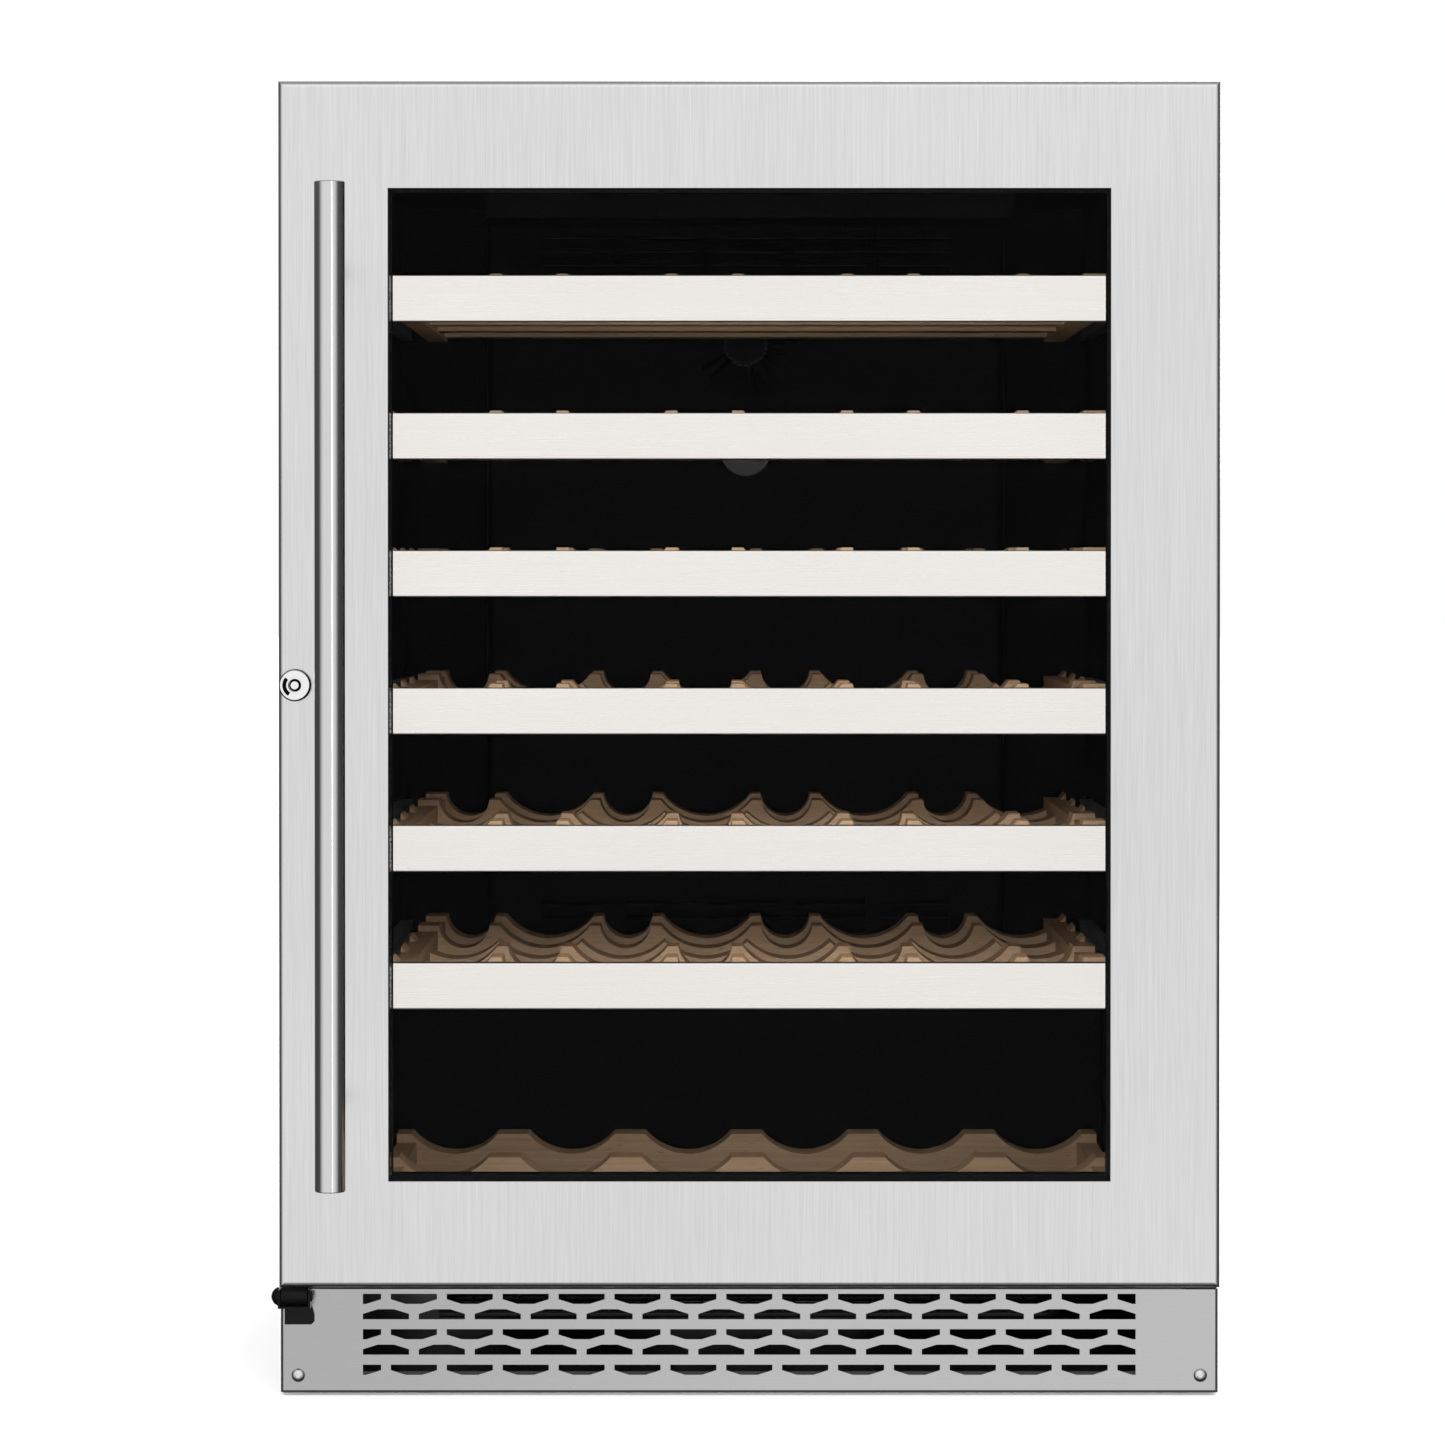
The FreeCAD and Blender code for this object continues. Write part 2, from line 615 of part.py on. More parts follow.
def carbon_filter():
    """The round filter cap: a rim and a diagonal cross in front of a back disc."""
    front = DUCT_FRONT - 8
    rim = rod_y(FILTER_RADIUS, front, DUCT_FRONT, 0, FILTER_Z)
    rim = rim.makeFillet(2, [e for e in rim.Edges if e.Closed and e.Vertexes[0].Point.y < front + 0.1])
    well = rod_y(FILTER_RADIUS - 3.5, front - 1, DUCT_FRONT - 2, 0, FILTER_Z)
    cross = []
    for angle in (45, 135):
        spoke = block(-FILTER_RADIUS + 2, FILTER_RADIUS - 2, front + 1, DUCT_FRONT - 1,
                      FILTER_Z - 1.6, FILTER_Z + 1.6)
        spoke.rotate(V(0, 0, FILTER_Z), V(0, 1, 0), angle)
        cross.append(spoke)
    return join([rim.cut(well)] + cross)


def evaporator_fan():
    """The fan that blows cold air up the duct."""
    start = DUCT_FRONT + 8
    return fan(0, start, start + 18, COLD_FAN_Z, COLD_FAN_RADIUS, 16, 5, 3 + RUNNING_FIT)


def evaporator():
    """An aluminium plate with a serpentine of refrigerant pipe along it."""
    plate = block(-150, 150, ROOM_BACK - 2.5, ROOM_BACK - 0.5, 300, 630)
    y = ROOM_BACK - 5.0
    points = []
    for row in range(9):
        z = 320 + 36 * row
        ends = (-130, 130) if row % 2 == 0 else (130, -130)
        points += [(ends[0], y, z), (ends[1], y, z)]
    return join([plate, pipe(points, 14, 3)])


# Machine space

def compressor():
    """A welded steel pot on a plate with four rubber feet, open at its suction stub."""
    x = COMPRESSOR_X
    y = MACHINE_Y
    base = TRAY_FLOOR + SHEET
    pot = rod_z(64, base + 10, base + 150, x, y)
    pot = pot.makeFillet(24, [e for e in pot.Edges if e.Closed])
    hollow = rod_z(54, base + 20, base + 140, x, y)
    hollow = hollow.makeFillet(16, [e for e in hollow.Edges if e.Closed])
    plate = block(x - 88, x + 88, y - 50, y + 50, base + 8, base + 12)
    feet = [
        rod_z(9, base, base + 8, x + sx * 74, y + sy * 38) for sx in (-1, 1) for sy in (-1, 1)
    ]
    stub = rod_x(5, x + 58, x + 84, y, base + 110)
    body = join([pot, plate, stub] + feet)
    return body.cut([hollow, rod_x(3.5, x + 40, x + 85, y, base + 110)])


def condenser_coil():
    """The wire-on-tube condenser lying in the air path behind the toe-kick."""
    z = 44.0
    runs = 9
    points = []
    for run in range(runs):
        y = CASE_FRONT + 10 + 34 * run
        ends = (-200, 200) if run % 2 == 0 else (200, -200)
        points += [(ends[0], y, z), (ends[1], y, z)]
    tube = pipe(points, 14, 2.5)
    wires = [
        rod_y(0.8, CASE_FRONT + 4, CASE_FRONT + 16 + 34 * (runs - 1), -180 + 30 * i, z + 3.3)
        for i in range(13)
    ]
    return Part.makeCompound([tube] + wires)


def fan_shroud():
    """The condenser fan's square frame, with its motor on four arms and a shaft."""
    y = MACHINE_FRONT + 20
    x = FAN_X
    plate = block(x - FAN_FRAME, x + FAN_FRAME, y, y + 24, FAN_Z - FAN_FRAME, FAN_Z + FAN_FRAME)
    plate = plate.cut(rod_y(FAN_RADIUS + 3, y, y + 24, x, FAN_Z))
    motor = rod_y(17, y, y + 6, x, FAN_Z)
    arms = []
    for angle in (45, 135):
        arm = block(x - FAN_RADIUS - 6, x + FAN_RADIUS + 6, y, y + 3, FAN_Z - 3, FAN_Z + 3)
        arm.rotate(V(x, y, FAN_Z), V(0, 1, 0), angle)
        arms.append(arm)
    shaft = rod_y(3, y, y + 23, x, FAN_Z)
    return join([plate, motor, shaft] + arms)


def condenser_fan():
    """The fan that draws room air in through the toe-kick and over the condenser."""
    start = MACHINE_FRONT + 20 + 8
    return fan(FAN_X, start, start + 14, FAN_Z, FAN_RADIUS, 18, 5, 3 + RUNNING_FIT)


def power_inlet():
    """A three-pin appliance inlet in the back panel."""
    half_w = 23.5
    half_h = 13.5
    front = FOAM_BACK - 22
    body = block(INLET_X - half_w, INLET_X + half_w, front, CASE_BACK, INLET_Z - half_h, INLET_Z + half_h)
    flange = block(INLET_X - 29, INLET_X + 29, CASE_BACK, CASE_BACK + 2.5, INLET_Z - 18, INLET_Z + 18)
    socket = block(INLET_X - 12, INLET_X + 12, front + 5, CASE_BACK + 3, INLET_Z - 8, INLET_Z + 8)
    body = join([body, flange]).cut(socket)
    pins = [
        block(INLET_X + dx - 1, INLET_X + dx + 1, front + 4, front + 20, INLET_Z + dz - 2, INLET_Z + dz + 2)
        for dx, dz in ((-7, -2), (0, 3), (7, -2))
    ]
    return join([body] + pins)


# Door

def hinge_recess():
    """The space that the upper hinge arm sweeps in the door's top, hidden behind its front."""
    left = HALF - RECESS_WIDTH
    return block(left, HALF + 1, RECESS_FRONT, CASE_FRONT, HEIGHT - RECESS_DEPTH, HEIGHT + 1)


def bush_places():
    """Where the two bushes sit: each as its lower and upper end."""
    low = (DOOR_BOTTOM, DOOR_BOTTOM + BUSH_LENGTH)
    high = (HEIGHT - RECESS_DEPTH - BUSH_LENGTH, HEIGHT - RECESS_DEPTH)
    return low, high


def door_skin():
    """The brushed steel face, folded back on all four sides, with the window cut out."""
    skin = block(-HALF, HALF, DOOR_FRONT, DOOR_FRONT + SKIN_DEPTH, DOOR_BOTTOM, HEIGHT)
    skin = skin.makeFillet(SKIN_BEND, edges_where(skin, lambda p: p.y < DOOR_FRONT + 0.1))
    inside = block(SHEET - HALF, HALF - SHEET, DOOR_FRONT + SHEET, DOOR_FRONT + SKIN_DEPTH,
                   DOOR_BOTTOM + SHEET, HEIGHT - SHEET)
    front = edges_where(inside, lambda p: p.y < DOOR_FRONT + SHEET + 0.1)
    inside = inside.makeFillet(SKIN_BEND - SHEET, front)
    window = block(-WINDOW_HALF, WINDOW_HALF, DOOR_FRONT - 1, DOOR_FRONT + 3, WINDOW_BOTTOM, WINDOW_TOP)
    lock = rod_y(LOCK_BODY, DOOR_FRONT - 1, DOOR_FRONT + 3, LOCK_X, DOOR_MIDDLE)
    bush = rod_z(BUSH_RADIUS, DOOR_BOTTOM - 1, DOOR_BOTTOM + 3, HINGE_X, HINGE_Y)
    return skin.cut([inside, window, lock, bush, hinge_recess()])


def door_inner_frame():
    """The plastic frame behind the skin, stepped to hold the double pane."""
    reach = HALF - SHEET
    skin_back = DOOR_FRONT + SKIN_DEPTH
    low = DOOR_BOTTOM + SHEET
    high = HEIGHT - SHEET
    body = join([
        block(-reach, reach, FRAME_FRONT, skin_back, low, high),
        block(-reach - 0.6, reach + 0.6, skin_back, DOOR_FRONT + DOOR_THICK, low - 0.6, high + 0.6),
    ])
    seat = WINDOW_HALF + PANE_LAP + 0.8
    lap = PANE_LAP + 0.8
    cuts = [
        block(-seat, seat, FRAME_FRONT, FRAME_LIP, WINDOW_BOTTOM - lap, WINDOW_TOP + lap),
        block(-WINDOW_HALF - 2, WINDOW_HALF + 2, FRAME_LIP, DOOR_FRONT + DOOR_THICK,
              WINDOW_BOTTOM - 2, WINDOW_TOP + 2),
        rod_y(LOCK_BODY, FRAME_FRONT, DOOR_FRONT + DOOR_THICK, LOCK_X, DOOR_MIDDLE),
        hinge_recess(),
    ]
    for z0, z1 in bush_places():
        cuts.append(rod_z(BUSH_RADIUS, z0 - 1, z1, HINGE_X, HINGE_Y))
    return body.cut(cuts)


def pane(y0, thick):
    """One sheet of the double pane."""
    half = WINDOW_HALF + PANE_LAP
    return block(-half, half, y0, y0 + thick, WINDOW_BOTTOM - PANE_LAP, WINDOW_TOP + PANE_LAP)


def pane_spacer():
    """The black spacer between the panes, which shows as a thin line round the window."""
    y0 = PANE_FRONT + OUTER_PANE
    half = WINDOW_HALF + PANE_LAP - 3
    inner = WINDOW_HALF - SPACER_SHOWS
    body = block(-half, half, y0, y0 + PANE_GAP, WINDOW_BOTTOM - PANE_LAP + 3, WINDOW_TOP + PANE_LAP - 3)
    opening = block(-inner, inner, y0, y0 + PANE_GAP,
                    WINDOW_BOTTOM + SPACER_SHOWS_BOTTOM, WINDOW_TOP - SPACER_SHOWS_TOP)
    return body.cut(opening)


def door_gasket():
    """The magnetic seal: a base in the door, a narrow bellows and a magnet strip."""
    y = DOOR_FRONT + DOOR_THICK
    low = DOOR_BOTTOM + 7.5
    high = HEIGHT - 21
    steps = [(0, 2, 0, GASKET_WIDTH), (2, 6.5, 4, 8), (6.5, SEAL_GAP - 0.2, 1, 14)]
    rings = []
    for start, end, inset, width in steps:
        rings.append(frame(GASKET_HALF - inset, low + inset, high - inset, width, y + start, y + end))
    return join(rings)


def handle_bar():
    """The round steel bar."""
    low = DOOR_MIDDLE - BAR_LENGTH / 2
    bar = rod_z(BAR_RADIUS, low, low + BAR_LENGTH, BAR_X, BAR_Y)
    return bar.makeChamfer(0.5, [e for e in bar.Edges if e.Closed])


def handle_posts():
    """Two posts from the door's face, each saddled to the bar."""
    posts = []
    for side in (-1, 1):
        z = DOOR_MIDDLE + side * (BAR_LENGTH / 2 - POST_FROM_END)
        post = rod_y(POST_RADIUS, BAR_Y, DOOR_FRONT, BAR_X, z)
        posts.append(post.cut(rod_z(BAR_RADIUS, z - 10, z + 10, BAR_X, BAR_Y)))
    return Part.makeCompound(posts)


def hinge_bushes():
    """Two plastic bushes in the door that turn on the hinge pins."""
    bushes = []
    for z0, z1 in bush_places():
        bush = rod_z(BUSH_RADIUS, z0, z1, HINGE_X, HINGE_Y)
        bushes.append(bush.cut(rod_z(PIN_RADIUS + RUNNING_FIT, z0, z1, HINGE_X, HINGE_Y)))
    return Part.makeCompound(bushes)


def lock_barrel():
    """The lock's fixed barrel: a bevelled flange with a curved position mark, and a sleeve."""
    flange = rod_y(LOCK_FLANGE, LOCK_FACE, DOOR_FRONT, LOCK_X, DOOR_MIDDLE)
    rim = [e for e in flange.Edges if e.Closed and e.Vertexes[0].Point.y < LOCK_FACE + 0.1]
    flange = flange.makeChamfer(0.9, rim)
    sleeve = rod_y(LOCK_BODY, DOOR_FRONT, DOOR_FRONT + 43.4, LOCK_X, DOOR_MIDDLE)
    mark = rod_y(7.5, LOCK_FACE - 1, LOCK_FACE + 1, LOCK_X, DOOR_MIDDLE)
    mark = mark.cut(rod_y(5.8, LOCK_FACE - 1, LOCK_FACE + 1, LOCK_X, DOOR_MIDDLE))
    wedge = [(LOCK_X, DOOR_MIDDLE), (LOCK_X - 9, DOOR_MIDDLE + 9), (LOCK_X - 16, DOOR_MIDDLE),
             (LOCK_X - 8, DOOR_MIDDLE - 12)]
    mark = mark.common(prism_y(wedge, LOCK_FACE - 1, LOCK_FACE + 1))
    bore = rod_y(PLUG_RADIUS + RUNNING_FIT, LOCK_FACE - 1, DOOR_FRONT + 44, LOCK_X, DOOR_MIDDLE)
    return join([flange, sleeve]).cut([bore, mark])


def lock_plug():
    """The turning plug, with a round tubular keyway in its face and a stub for the cam."""
    plug = rod_y(PLUG_RADIUS, LOCK_FACE, CAM_FRONT - 0.2, LOCK_X, DOOR_MIDDLE)
    stub = rod_y(3, CAM_FRONT - 0.2, CAM_FRONT + CAM_THICK + 0.5, LOCK_X, DOOR_MIDDLE)
    keyway = rod_y(4.15, LOCK_FACE - 1, LOCK_FACE + 7, LOCK_X, DOOR_MIDDLE)
    core = rod_y(3.05, LOCK_FACE - 1, LOCK_FACE + 7, LOCK_X, DOOR_MIDDLE)
    return join([plug, stub]).cut(keyway.cut(core))


def lock_cam():
    """The tongue on the plug's back. It points up when unlocked."""
    hub = rod_y(5, CAM_FRONT, CAM_FRONT + CAM_THICK, LOCK_X, DOOR_MIDDLE)
    tongue = block(LOCK_X - 3.5, LOCK_X + 3.5, CAM_FRONT, CAM_FRONT + CAM_THICK,
                   DOOR_MIDDLE, DOOR_MIDDLE + CAM_REACH)
    hole = rod_y(3, CAM_FRONT - 1, CAM_FRONT + CAM_THICK + 1, LOCK_X, DOOR_MIDDLE)
    return join([hub, tongue]).cut(hole)


def door_roller():
    """The nylon roller under the door's free corner, which takes its weight when it shuts."""
    x0 = ROLLER_LEFT
    x1 = ROLLER_LEFT + ROLLER_LENGTH
    roller = rod_x(ROLLER_RADIUS, x0, x1, ROLLER_Y, ROLLER_Z)
    roller = roller.makeFillet(0.8, [e for e in roller.Edges if e.Closed])
    return roller.cut(rod_x(AXLE_RADIUS + RUNNING_FIT, x0, x1, ROLLER_Y, ROLLER_Z))


def all_parts():
    """Every node of the cooler, as its name and its shape."""
    parts = {
        "left_side_panel": side_panel(-1),
        "right_side_panel": side_panel(1),
        "top_panel": top_panel(),
        "back_panel": back_panel(),
        "front_frame": front_frame(),
        "base_tray": base_tray(),
        "toe_kick_grille": toe_kick_grille(),
        "cabinet_screws": cabinet_screws(),
        "inner_liner": inner_liner(),
        "insulation_foam": insulation_foam(),
        "upper_hinge_bracket": upper_hinge_bracket(),
        "lower_hinge_bracket": lower_hinge_bracket(),
        "lock_keeper": lock_keeper(),
        "roller_bracket": roller_bracket(),
        "rear_feet": rear_feet(),
        "front_foot_left": front_foot(-1),
        "front_foot_right": front_foot(1),
        "slide_channels": slide_channels(),
        "lower_rack": lower_rack(),
        "control_panel": control_panel(),
        "air_duct_cover": air_duct_cover(),
        "carbon_filter": carbon_filter(),
        "evaporator_fan": evaporator_fan(),
        "evaporator": evaporator(),
        "compressor": compressor(),
        "condenser_coil": condenser_coil(),
        "fan_shroud": fan_shroud(),
        "condenser_fan": condenser_fan(),
        "power_inlet": power_inlet(),
        "door_skin": door_skin(),
        "door_inner_frame": door_inner_frame(),
        "outer_pane": pane(PANE_FRONT, OUTER_PANE),
        "inner_pane": pane(PANE_FRONT + OUTER_PANE + PANE_GAP, INNER_PANE),
        "pane_spacer": pane_spacer(),
        "door_gasket": door_gasket(),
        "handle_bar": handle_bar(),
        "handle_posts": handle_posts(),
        "hinge_bushes": hinge_bushes(),
        "lock_barrel": lock_barrel(),
        "lock_plug": lock_plug(),
        "lock_cam": lock_cam(),
        "door_roller": door_roller(),
    }
    for number in range(1, SHELVES + 1):
        parts[f"shelf_{number}_wood"] = shelf_wood(number)
        parts[f"shelf_{number}_trim"] = shelf_trim(number)
        parts[f"shelf_{number}_runners"] = shelf_runners(number)
    return parts


os.makedirs("parts", exist_ok=True)
for name, shape in all_parts().items():
    sound = shape.isValid() and all(solid.isClosed() for solid in shape.Solids)
    verdict = "sound" if sound else "NOT SOUND"
    print(f"{name:22s} {len(shape.Solids):3d} solids {shape.Volume / 1000:10.1f} cm3 {verdict}")
    shape.exportStep(f"parts/{name}.step")
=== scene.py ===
# %% [markdown]
# A wine cooler, dressed in Blender.
#
# The cabinet, the door and everything that turns or slides in them come in as a fixed frame. Nothing
# in it is moved here. This file gives every piece its finish, replaces the few pieces whose real shape
# is softer or rounder than the frame's, and sets up a plain studio.

# %% The frame
import math

import bpy
import numpy as np
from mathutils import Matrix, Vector


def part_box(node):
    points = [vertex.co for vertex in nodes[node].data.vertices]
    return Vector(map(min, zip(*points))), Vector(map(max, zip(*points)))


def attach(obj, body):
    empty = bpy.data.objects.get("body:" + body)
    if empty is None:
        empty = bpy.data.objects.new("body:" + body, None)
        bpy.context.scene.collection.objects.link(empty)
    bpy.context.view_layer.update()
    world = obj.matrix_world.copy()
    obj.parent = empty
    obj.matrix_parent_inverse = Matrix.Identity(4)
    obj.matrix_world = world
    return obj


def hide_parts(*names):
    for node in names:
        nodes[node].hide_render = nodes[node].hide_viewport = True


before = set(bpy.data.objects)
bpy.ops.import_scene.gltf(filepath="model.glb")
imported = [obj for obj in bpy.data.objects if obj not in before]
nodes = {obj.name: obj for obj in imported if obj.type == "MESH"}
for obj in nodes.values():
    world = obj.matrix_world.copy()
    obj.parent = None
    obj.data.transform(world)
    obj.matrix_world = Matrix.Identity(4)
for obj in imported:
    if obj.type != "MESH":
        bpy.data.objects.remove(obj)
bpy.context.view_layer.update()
scene = bpy.context.scene

# %% [markdown]
# Finishes are small networks of shader nodes. Written out node by node they are long and hard to read,
# so two helpers come first.
#
# A Wire holds one output of a node and does arithmetic: `0.3 + 0.1 * streaks` adds two Math nodes. It is
# only for plain numbers, because a Math node would turn a colour grey. A Finish is one material. Its
# node() method adds any other node, and its surface() method joins the results to the shader. Values
# that are the same all over a piece are set on the shader's own sockets, and only what varies is wired.

# %% Wire and Finish


class Wire:
    """One output of a node. Each arithmetic sign adds one Math node of that name to its network."""

    def __init__(self, tree, socket):
        self.tree = tree
        self.socket = socket

    def math(self, operation, first, second=None, clamp=False):
        node = self.tree.nodes.new("ShaderNodeMath")
        node.operation = operation
        node.use_clamp = clamp
        for slot, value in zip(node.inputs, (first, second)):
            join(self.tree, slot, value)
        return Wire(self.tree, node.outputs[0])

    def __add__(self, other):
        return self.math("ADD", self, other)

    def __sub__(self, other):
        return self.math("SUBTRACT", self, other)

    def __mul__(self, other):
        return self.math("MULTIPLY", self, other)

    def __truediv__(self, other):
        return self.math("DIVIDE", self, other)

    def __pow__(self, other):
        return self.math("POWER", self, other)

    def __gt__(self, other):
        return self.math("GREATER_THAN", self, other)

    def __lt__(self, other):
        return self.math("LESS_THAN", self, other)

    def __abs__(self):
        return self.math("ABSOLUTE", self)

    def __radd__(self, other):
        return self.math("ADD", other, self)

    def __rsub__(self, other):
        return self.math("SUBTRACT", other, self)

    def __rmul__(self, other):
        return self.math("MULTIPLY", other, self)

    def clamped(self):
        """The value held between 0 and 1."""
        return self.math("ADD", self, 0.0, clamp=True)


def join(tree, slot, value):
    """Puts a wire or a plain value into a node's socket. None leaves it as it is."""
    if isinstance(value, Wire):
        tree.links.new(value.socket, slot)
    elif value is not None:
        slot.default_value = value


class Finish:
    """One procedural material, with its patterns on Object coordinates in metres."""

    def __init__(self, name):
        self.material = bpy.data.materials.new(name)
        self.material.use_nodes = True
        self.tree = self.material.node_tree
        self.tree.nodes.clear()
        self.place = self.node("ShaderNodeTexCoord", out="Object")
        split = self.tree.nodes.new("ShaderNodeSeparateXYZ")
        join(self.tree, split.inputs[0], self.place)
        self.x, self.y, self.z = (Wire(self.tree, socket) for socket in split.outputs)

    def node(self, kind, settings=(), values=(), out=0):
        """Adds any node, with its settings and its sockets by name or number. Returns one output."""
        node = self.tree.nodes.new(kind)
        for key, value in dict(settings).items():
            setattr(node, key, value)
        for key, value in dict(values).items():
            join(self.tree, node.inputs[key], value)
        return Wire(self.tree, node.outputs[out])

    def noise(self, cells, detail=2.0, roughness=0.5, shift=(0.0, 0.0, 0.0)):
        """Soft random values round 0.5. cells is how many features there are in a metre on each axis."""
        stretched = self.node("ShaderNodeMapping", values={
            "Vector": self.place, "Location": shift, "Scale": cells})
        return self.node("ShaderNodeTexNoise", values={
            "Vector": stretched, "Scale": 1.0, "Detail": detail, "Roughness": roughness})

    def blend(self, amount, first, second):
        """A colour that goes from the first to the second as amount goes from 0 to 1."""
        return self.node("ShaderNodeMix", {"data_type": "RGBA"},
                         {"Factor": amount, "A": first, "B": second}, out=2)

    def bump(self, height, distance):
        """A surface slope from a height between 0 and 1. distance is its full size in metres."""
        return self.node("ShaderNodeBump", values={
            "Strength": 1.0, "Distance": distance, "Height": height})

    def surface(self, **values):
        """Joins wires and values to the shader, by socket name with _ for a space.

        Returns the material.
        """
        shader = self.tree.nodes.new("ShaderNodeBsdfPrincipled")
        for key, value in values.items():
            join(self.tree, shader.inputs[key.replace("_", " ")], value)
        output = self.tree.nodes.new("ShaderNodeOutputMaterial")
        self.tree.links.new(shader.outputs[0], output.inputs[0])
        return self.material


def grey(value, warmth=0.0):
    """A grey of that brightness. Warmth adds red and takes away blue."""
    return (value * (1 + warmth), value, value * (1 - warmth), 1.0)


print("helpers ready")

# %% [markdown]
# Brushed stainless steel. Abrasive belts leave long fine scratches that all run one way. They do two
# things: they show as pale and dark hair lines, and they spread a reflection sideways, across the
# scratches. So the finish has hair lines of two widths in its colour and roughness, and the shader is
# anisotropic. The shader's own direction on an upright face is level, which suits upright scratches;
# a quarter turn suits level ones.
#
# A sheet is also never quite even, so a very broad, faint noise changes the tone from place to place.

# %% Brushed steel
# Depth of a scratch or of a fine skin, in metres
SCRATCH_DEPTH = 0.00002
# Widths and lengths of the fine and the coarse hair lines, in metres
FINE_WIDTH, FINE_LENGTH = 0.0009, 0.045
COARSE_WIDTH, COARSE_LENGTH = 0.0028, 0.12
BROAD_CELLS = (4.0, 4.0, 4.0)
# How many times a noise's swing about 0.5 has to grow to fill the range from 0 to 1
NOISE_GAIN = 12


def brushed_steel(name, tone, along, streaks=0.05, rough=0.30, warmth=0.0, cloud=0.03, spread=0.6):
    """Steel with hair lines along one axis ("x" or "z"), about a base tone.

    Hair lines are noise that is one to three millimetres wide and some centimetres long. The tone's
    place between dark and pale is a half, plus the hair lines' swing times streaks, plus the broad
    noise's swing times cloud.
    """
    steel = Finish(name)
    axis = "xyz".index(along)
    fine = [1 / FINE_WIDTH] * 3
    coarse = [1 / COARSE_WIDTH] * 3
    fine[axis] = 1 / FINE_LENGTH
    coarse[axis] = 1 / COARSE_LENGTH
    hair = 0.6 * steel.noise(fine, 2.0) + 0.4 * steel.noise(coarse, 2.0, shift=(7.0, 3.0, 5.0))
    broad = steel.noise(BROAD_CELLS, 1.0)
    light = 0.5 + (hair - 0.5) * (streaks * NOISE_GAIN) + (broad - 0.5) * (cloud * NOISE_GAIN)
    colour = steel.blend(light.clamped(), grey(tone * (1 - streaks), warmth),
                         grey(tone * (1 + streaks), warmth))
    return steel.surface(
        Base_Color=colour, Metallic=1.0, Roughness=rough + (hair - 0.5) * 0.16, Anisotropic=spread,
        Anisotropic_Rotation=0.0 if along == "z" else 0.25, Normal=steel.bump(hair, SCRATCH_DEPTH))


door_steel = brushed_steel("door_steel", 0.68, "z", streaks=0.125, rough=0.24, spread=0.4)
# The kick plate's tone, well below the door's steel, is painted shade of the recess it sits in under the
# door
kick_steel_painted_shade = brushed_steel("kick_steel_painted_shade", 0.43, "x", streaks=0.08, rough=0.27)
# The shelf fronts' tone, above the door's steel, is painted light: it gives them the brightness of
# fronts lit inside the cooler
trim_steel_painted_light = brushed_steel("trim_steel_painted_light", 0.82, "x", streaks=0.035, rough=0.28, warmth=0.04, cloud=0.07)
handle_steel = brushed_steel("handle_steel", 0.62, "z", streaks=0.05, rough=0.13, spread=0.3)
print("brushed steel:", [m.name for m in bpy.data.materials])

# %% [markdown]
# The other metals. Lock and screws are plated and polished: a mirror with only the faintest haze. Zinc
# plate on brackets and slides is bluish with a soft crystal pattern, which a Voronoi texture gives:
# each cell of it is one crystal of its own tone. The cabinet is steel with baked black paint, whose
# skin has the slight ripple of orange peel.

# %% Plated and painted metals
POLISH_DEPTH = 0.000004
PEEL_DEPTH = 0.00003


def polished(name, tone, rough):
    """A plated mirror whose haze varies a little, with faint polishing marks."""
    metal = Finish(name)
    marks = metal.noise((900.0, 900.0, 2600.0), 2.0)
    haze = metal.noise((160.0, 160.0, 160.0), 2.0)
    return metal.surface(
        Base_Color=metal.blend(haze, grey(tone * 0.97), grey(tone)), Metallic=1.0,
        Roughness=rough + (marks - 0.5) * 0.06, Normal=metal.bump(marks, POLISH_DEPTH))


def zinc_plate(name, tone, crystal=0.012):
    """Zinc with crystals of a size in metres, each with its own brightness."""
    zinc = Finish(name)
    cells = zinc.node("ShaderNodeTexVoronoi", {"feature": "F1"}, {
        "Vector": zinc.place, "Scale": 1 / crystal, "Randomness": 1.0}, out="Color")
    crystals = zinc.node("ShaderNodeSeparateColor", values={0: cells})
    haze = zinc.noise((60.0, 60.0, 60.0), 3.0)
    light = (0.3 * crystals + 0.7 * haze).clamped()
    colour = zinc.blend(light, (tone * 0.78, tone * 0.80, tone * 0.83, 1.0),
                        (tone * 1.06, tone * 1.07, tone * 1.08, 1.0))
    return zinc.surface(Base_Color=colour, Metallic=0.9, Roughness=0.38 + 0.06 * crystals,
                        Normal=zinc.bump(haze, SCRATCH_DEPTH))


def paint(name, tone, rough=0.42, gloss=0.5):
    """Baked enamel: an even colour, a rippled skin, and soft paler and darker patches."""
    coat = Finish(name)
    ripple = coat.noise((420.0, 420.0, 420.0), 2.0)
    dust = coat.noise((5.0, 5.0, 5.0), 4.0)
    return coat.surface(
        Base_Color=coat.blend(dust, grey(tone * 0.8), grey(tone * 1.25)),
        Roughness=rough + (dust - 0.5) * 0.10, Specular_IOR_Level=gloss,
        Normal=coat.bump(ripple, PEEL_DEPTH))


screw_steel = polished("screw_steel", 0.70, rough=0.09)
zinc = zinc_plate("zinc", 0.56)
back_zinc = zinc_plate("back_zinc", 0.52, crystal=0.009)
case_paint = paint("case_paint", 0.016)
# Near-black bracket paint. On the roller bracket's tab below the roller it is a painted shadow of the
# roller on the kick plate
bracket_paint_and_shadow_tab = paint("bracket_paint_and_shadow_tab", 0.003, rough=0.22, gloss=0.14)
print("plated and painted:", screw_steel.name, zinc.name, case_paint.name)

# %% [markdown]
# Plastics and rubber. Moulded parts are eroded on purpose to hide flow marks, so their skin is a fine
# even grain. The liner is nearly black and dull, and that is what makes the inside vanish behind the
# glass. The magnetic seal is soft vinyl, with almost no shine.

# %% Plastics and rubber


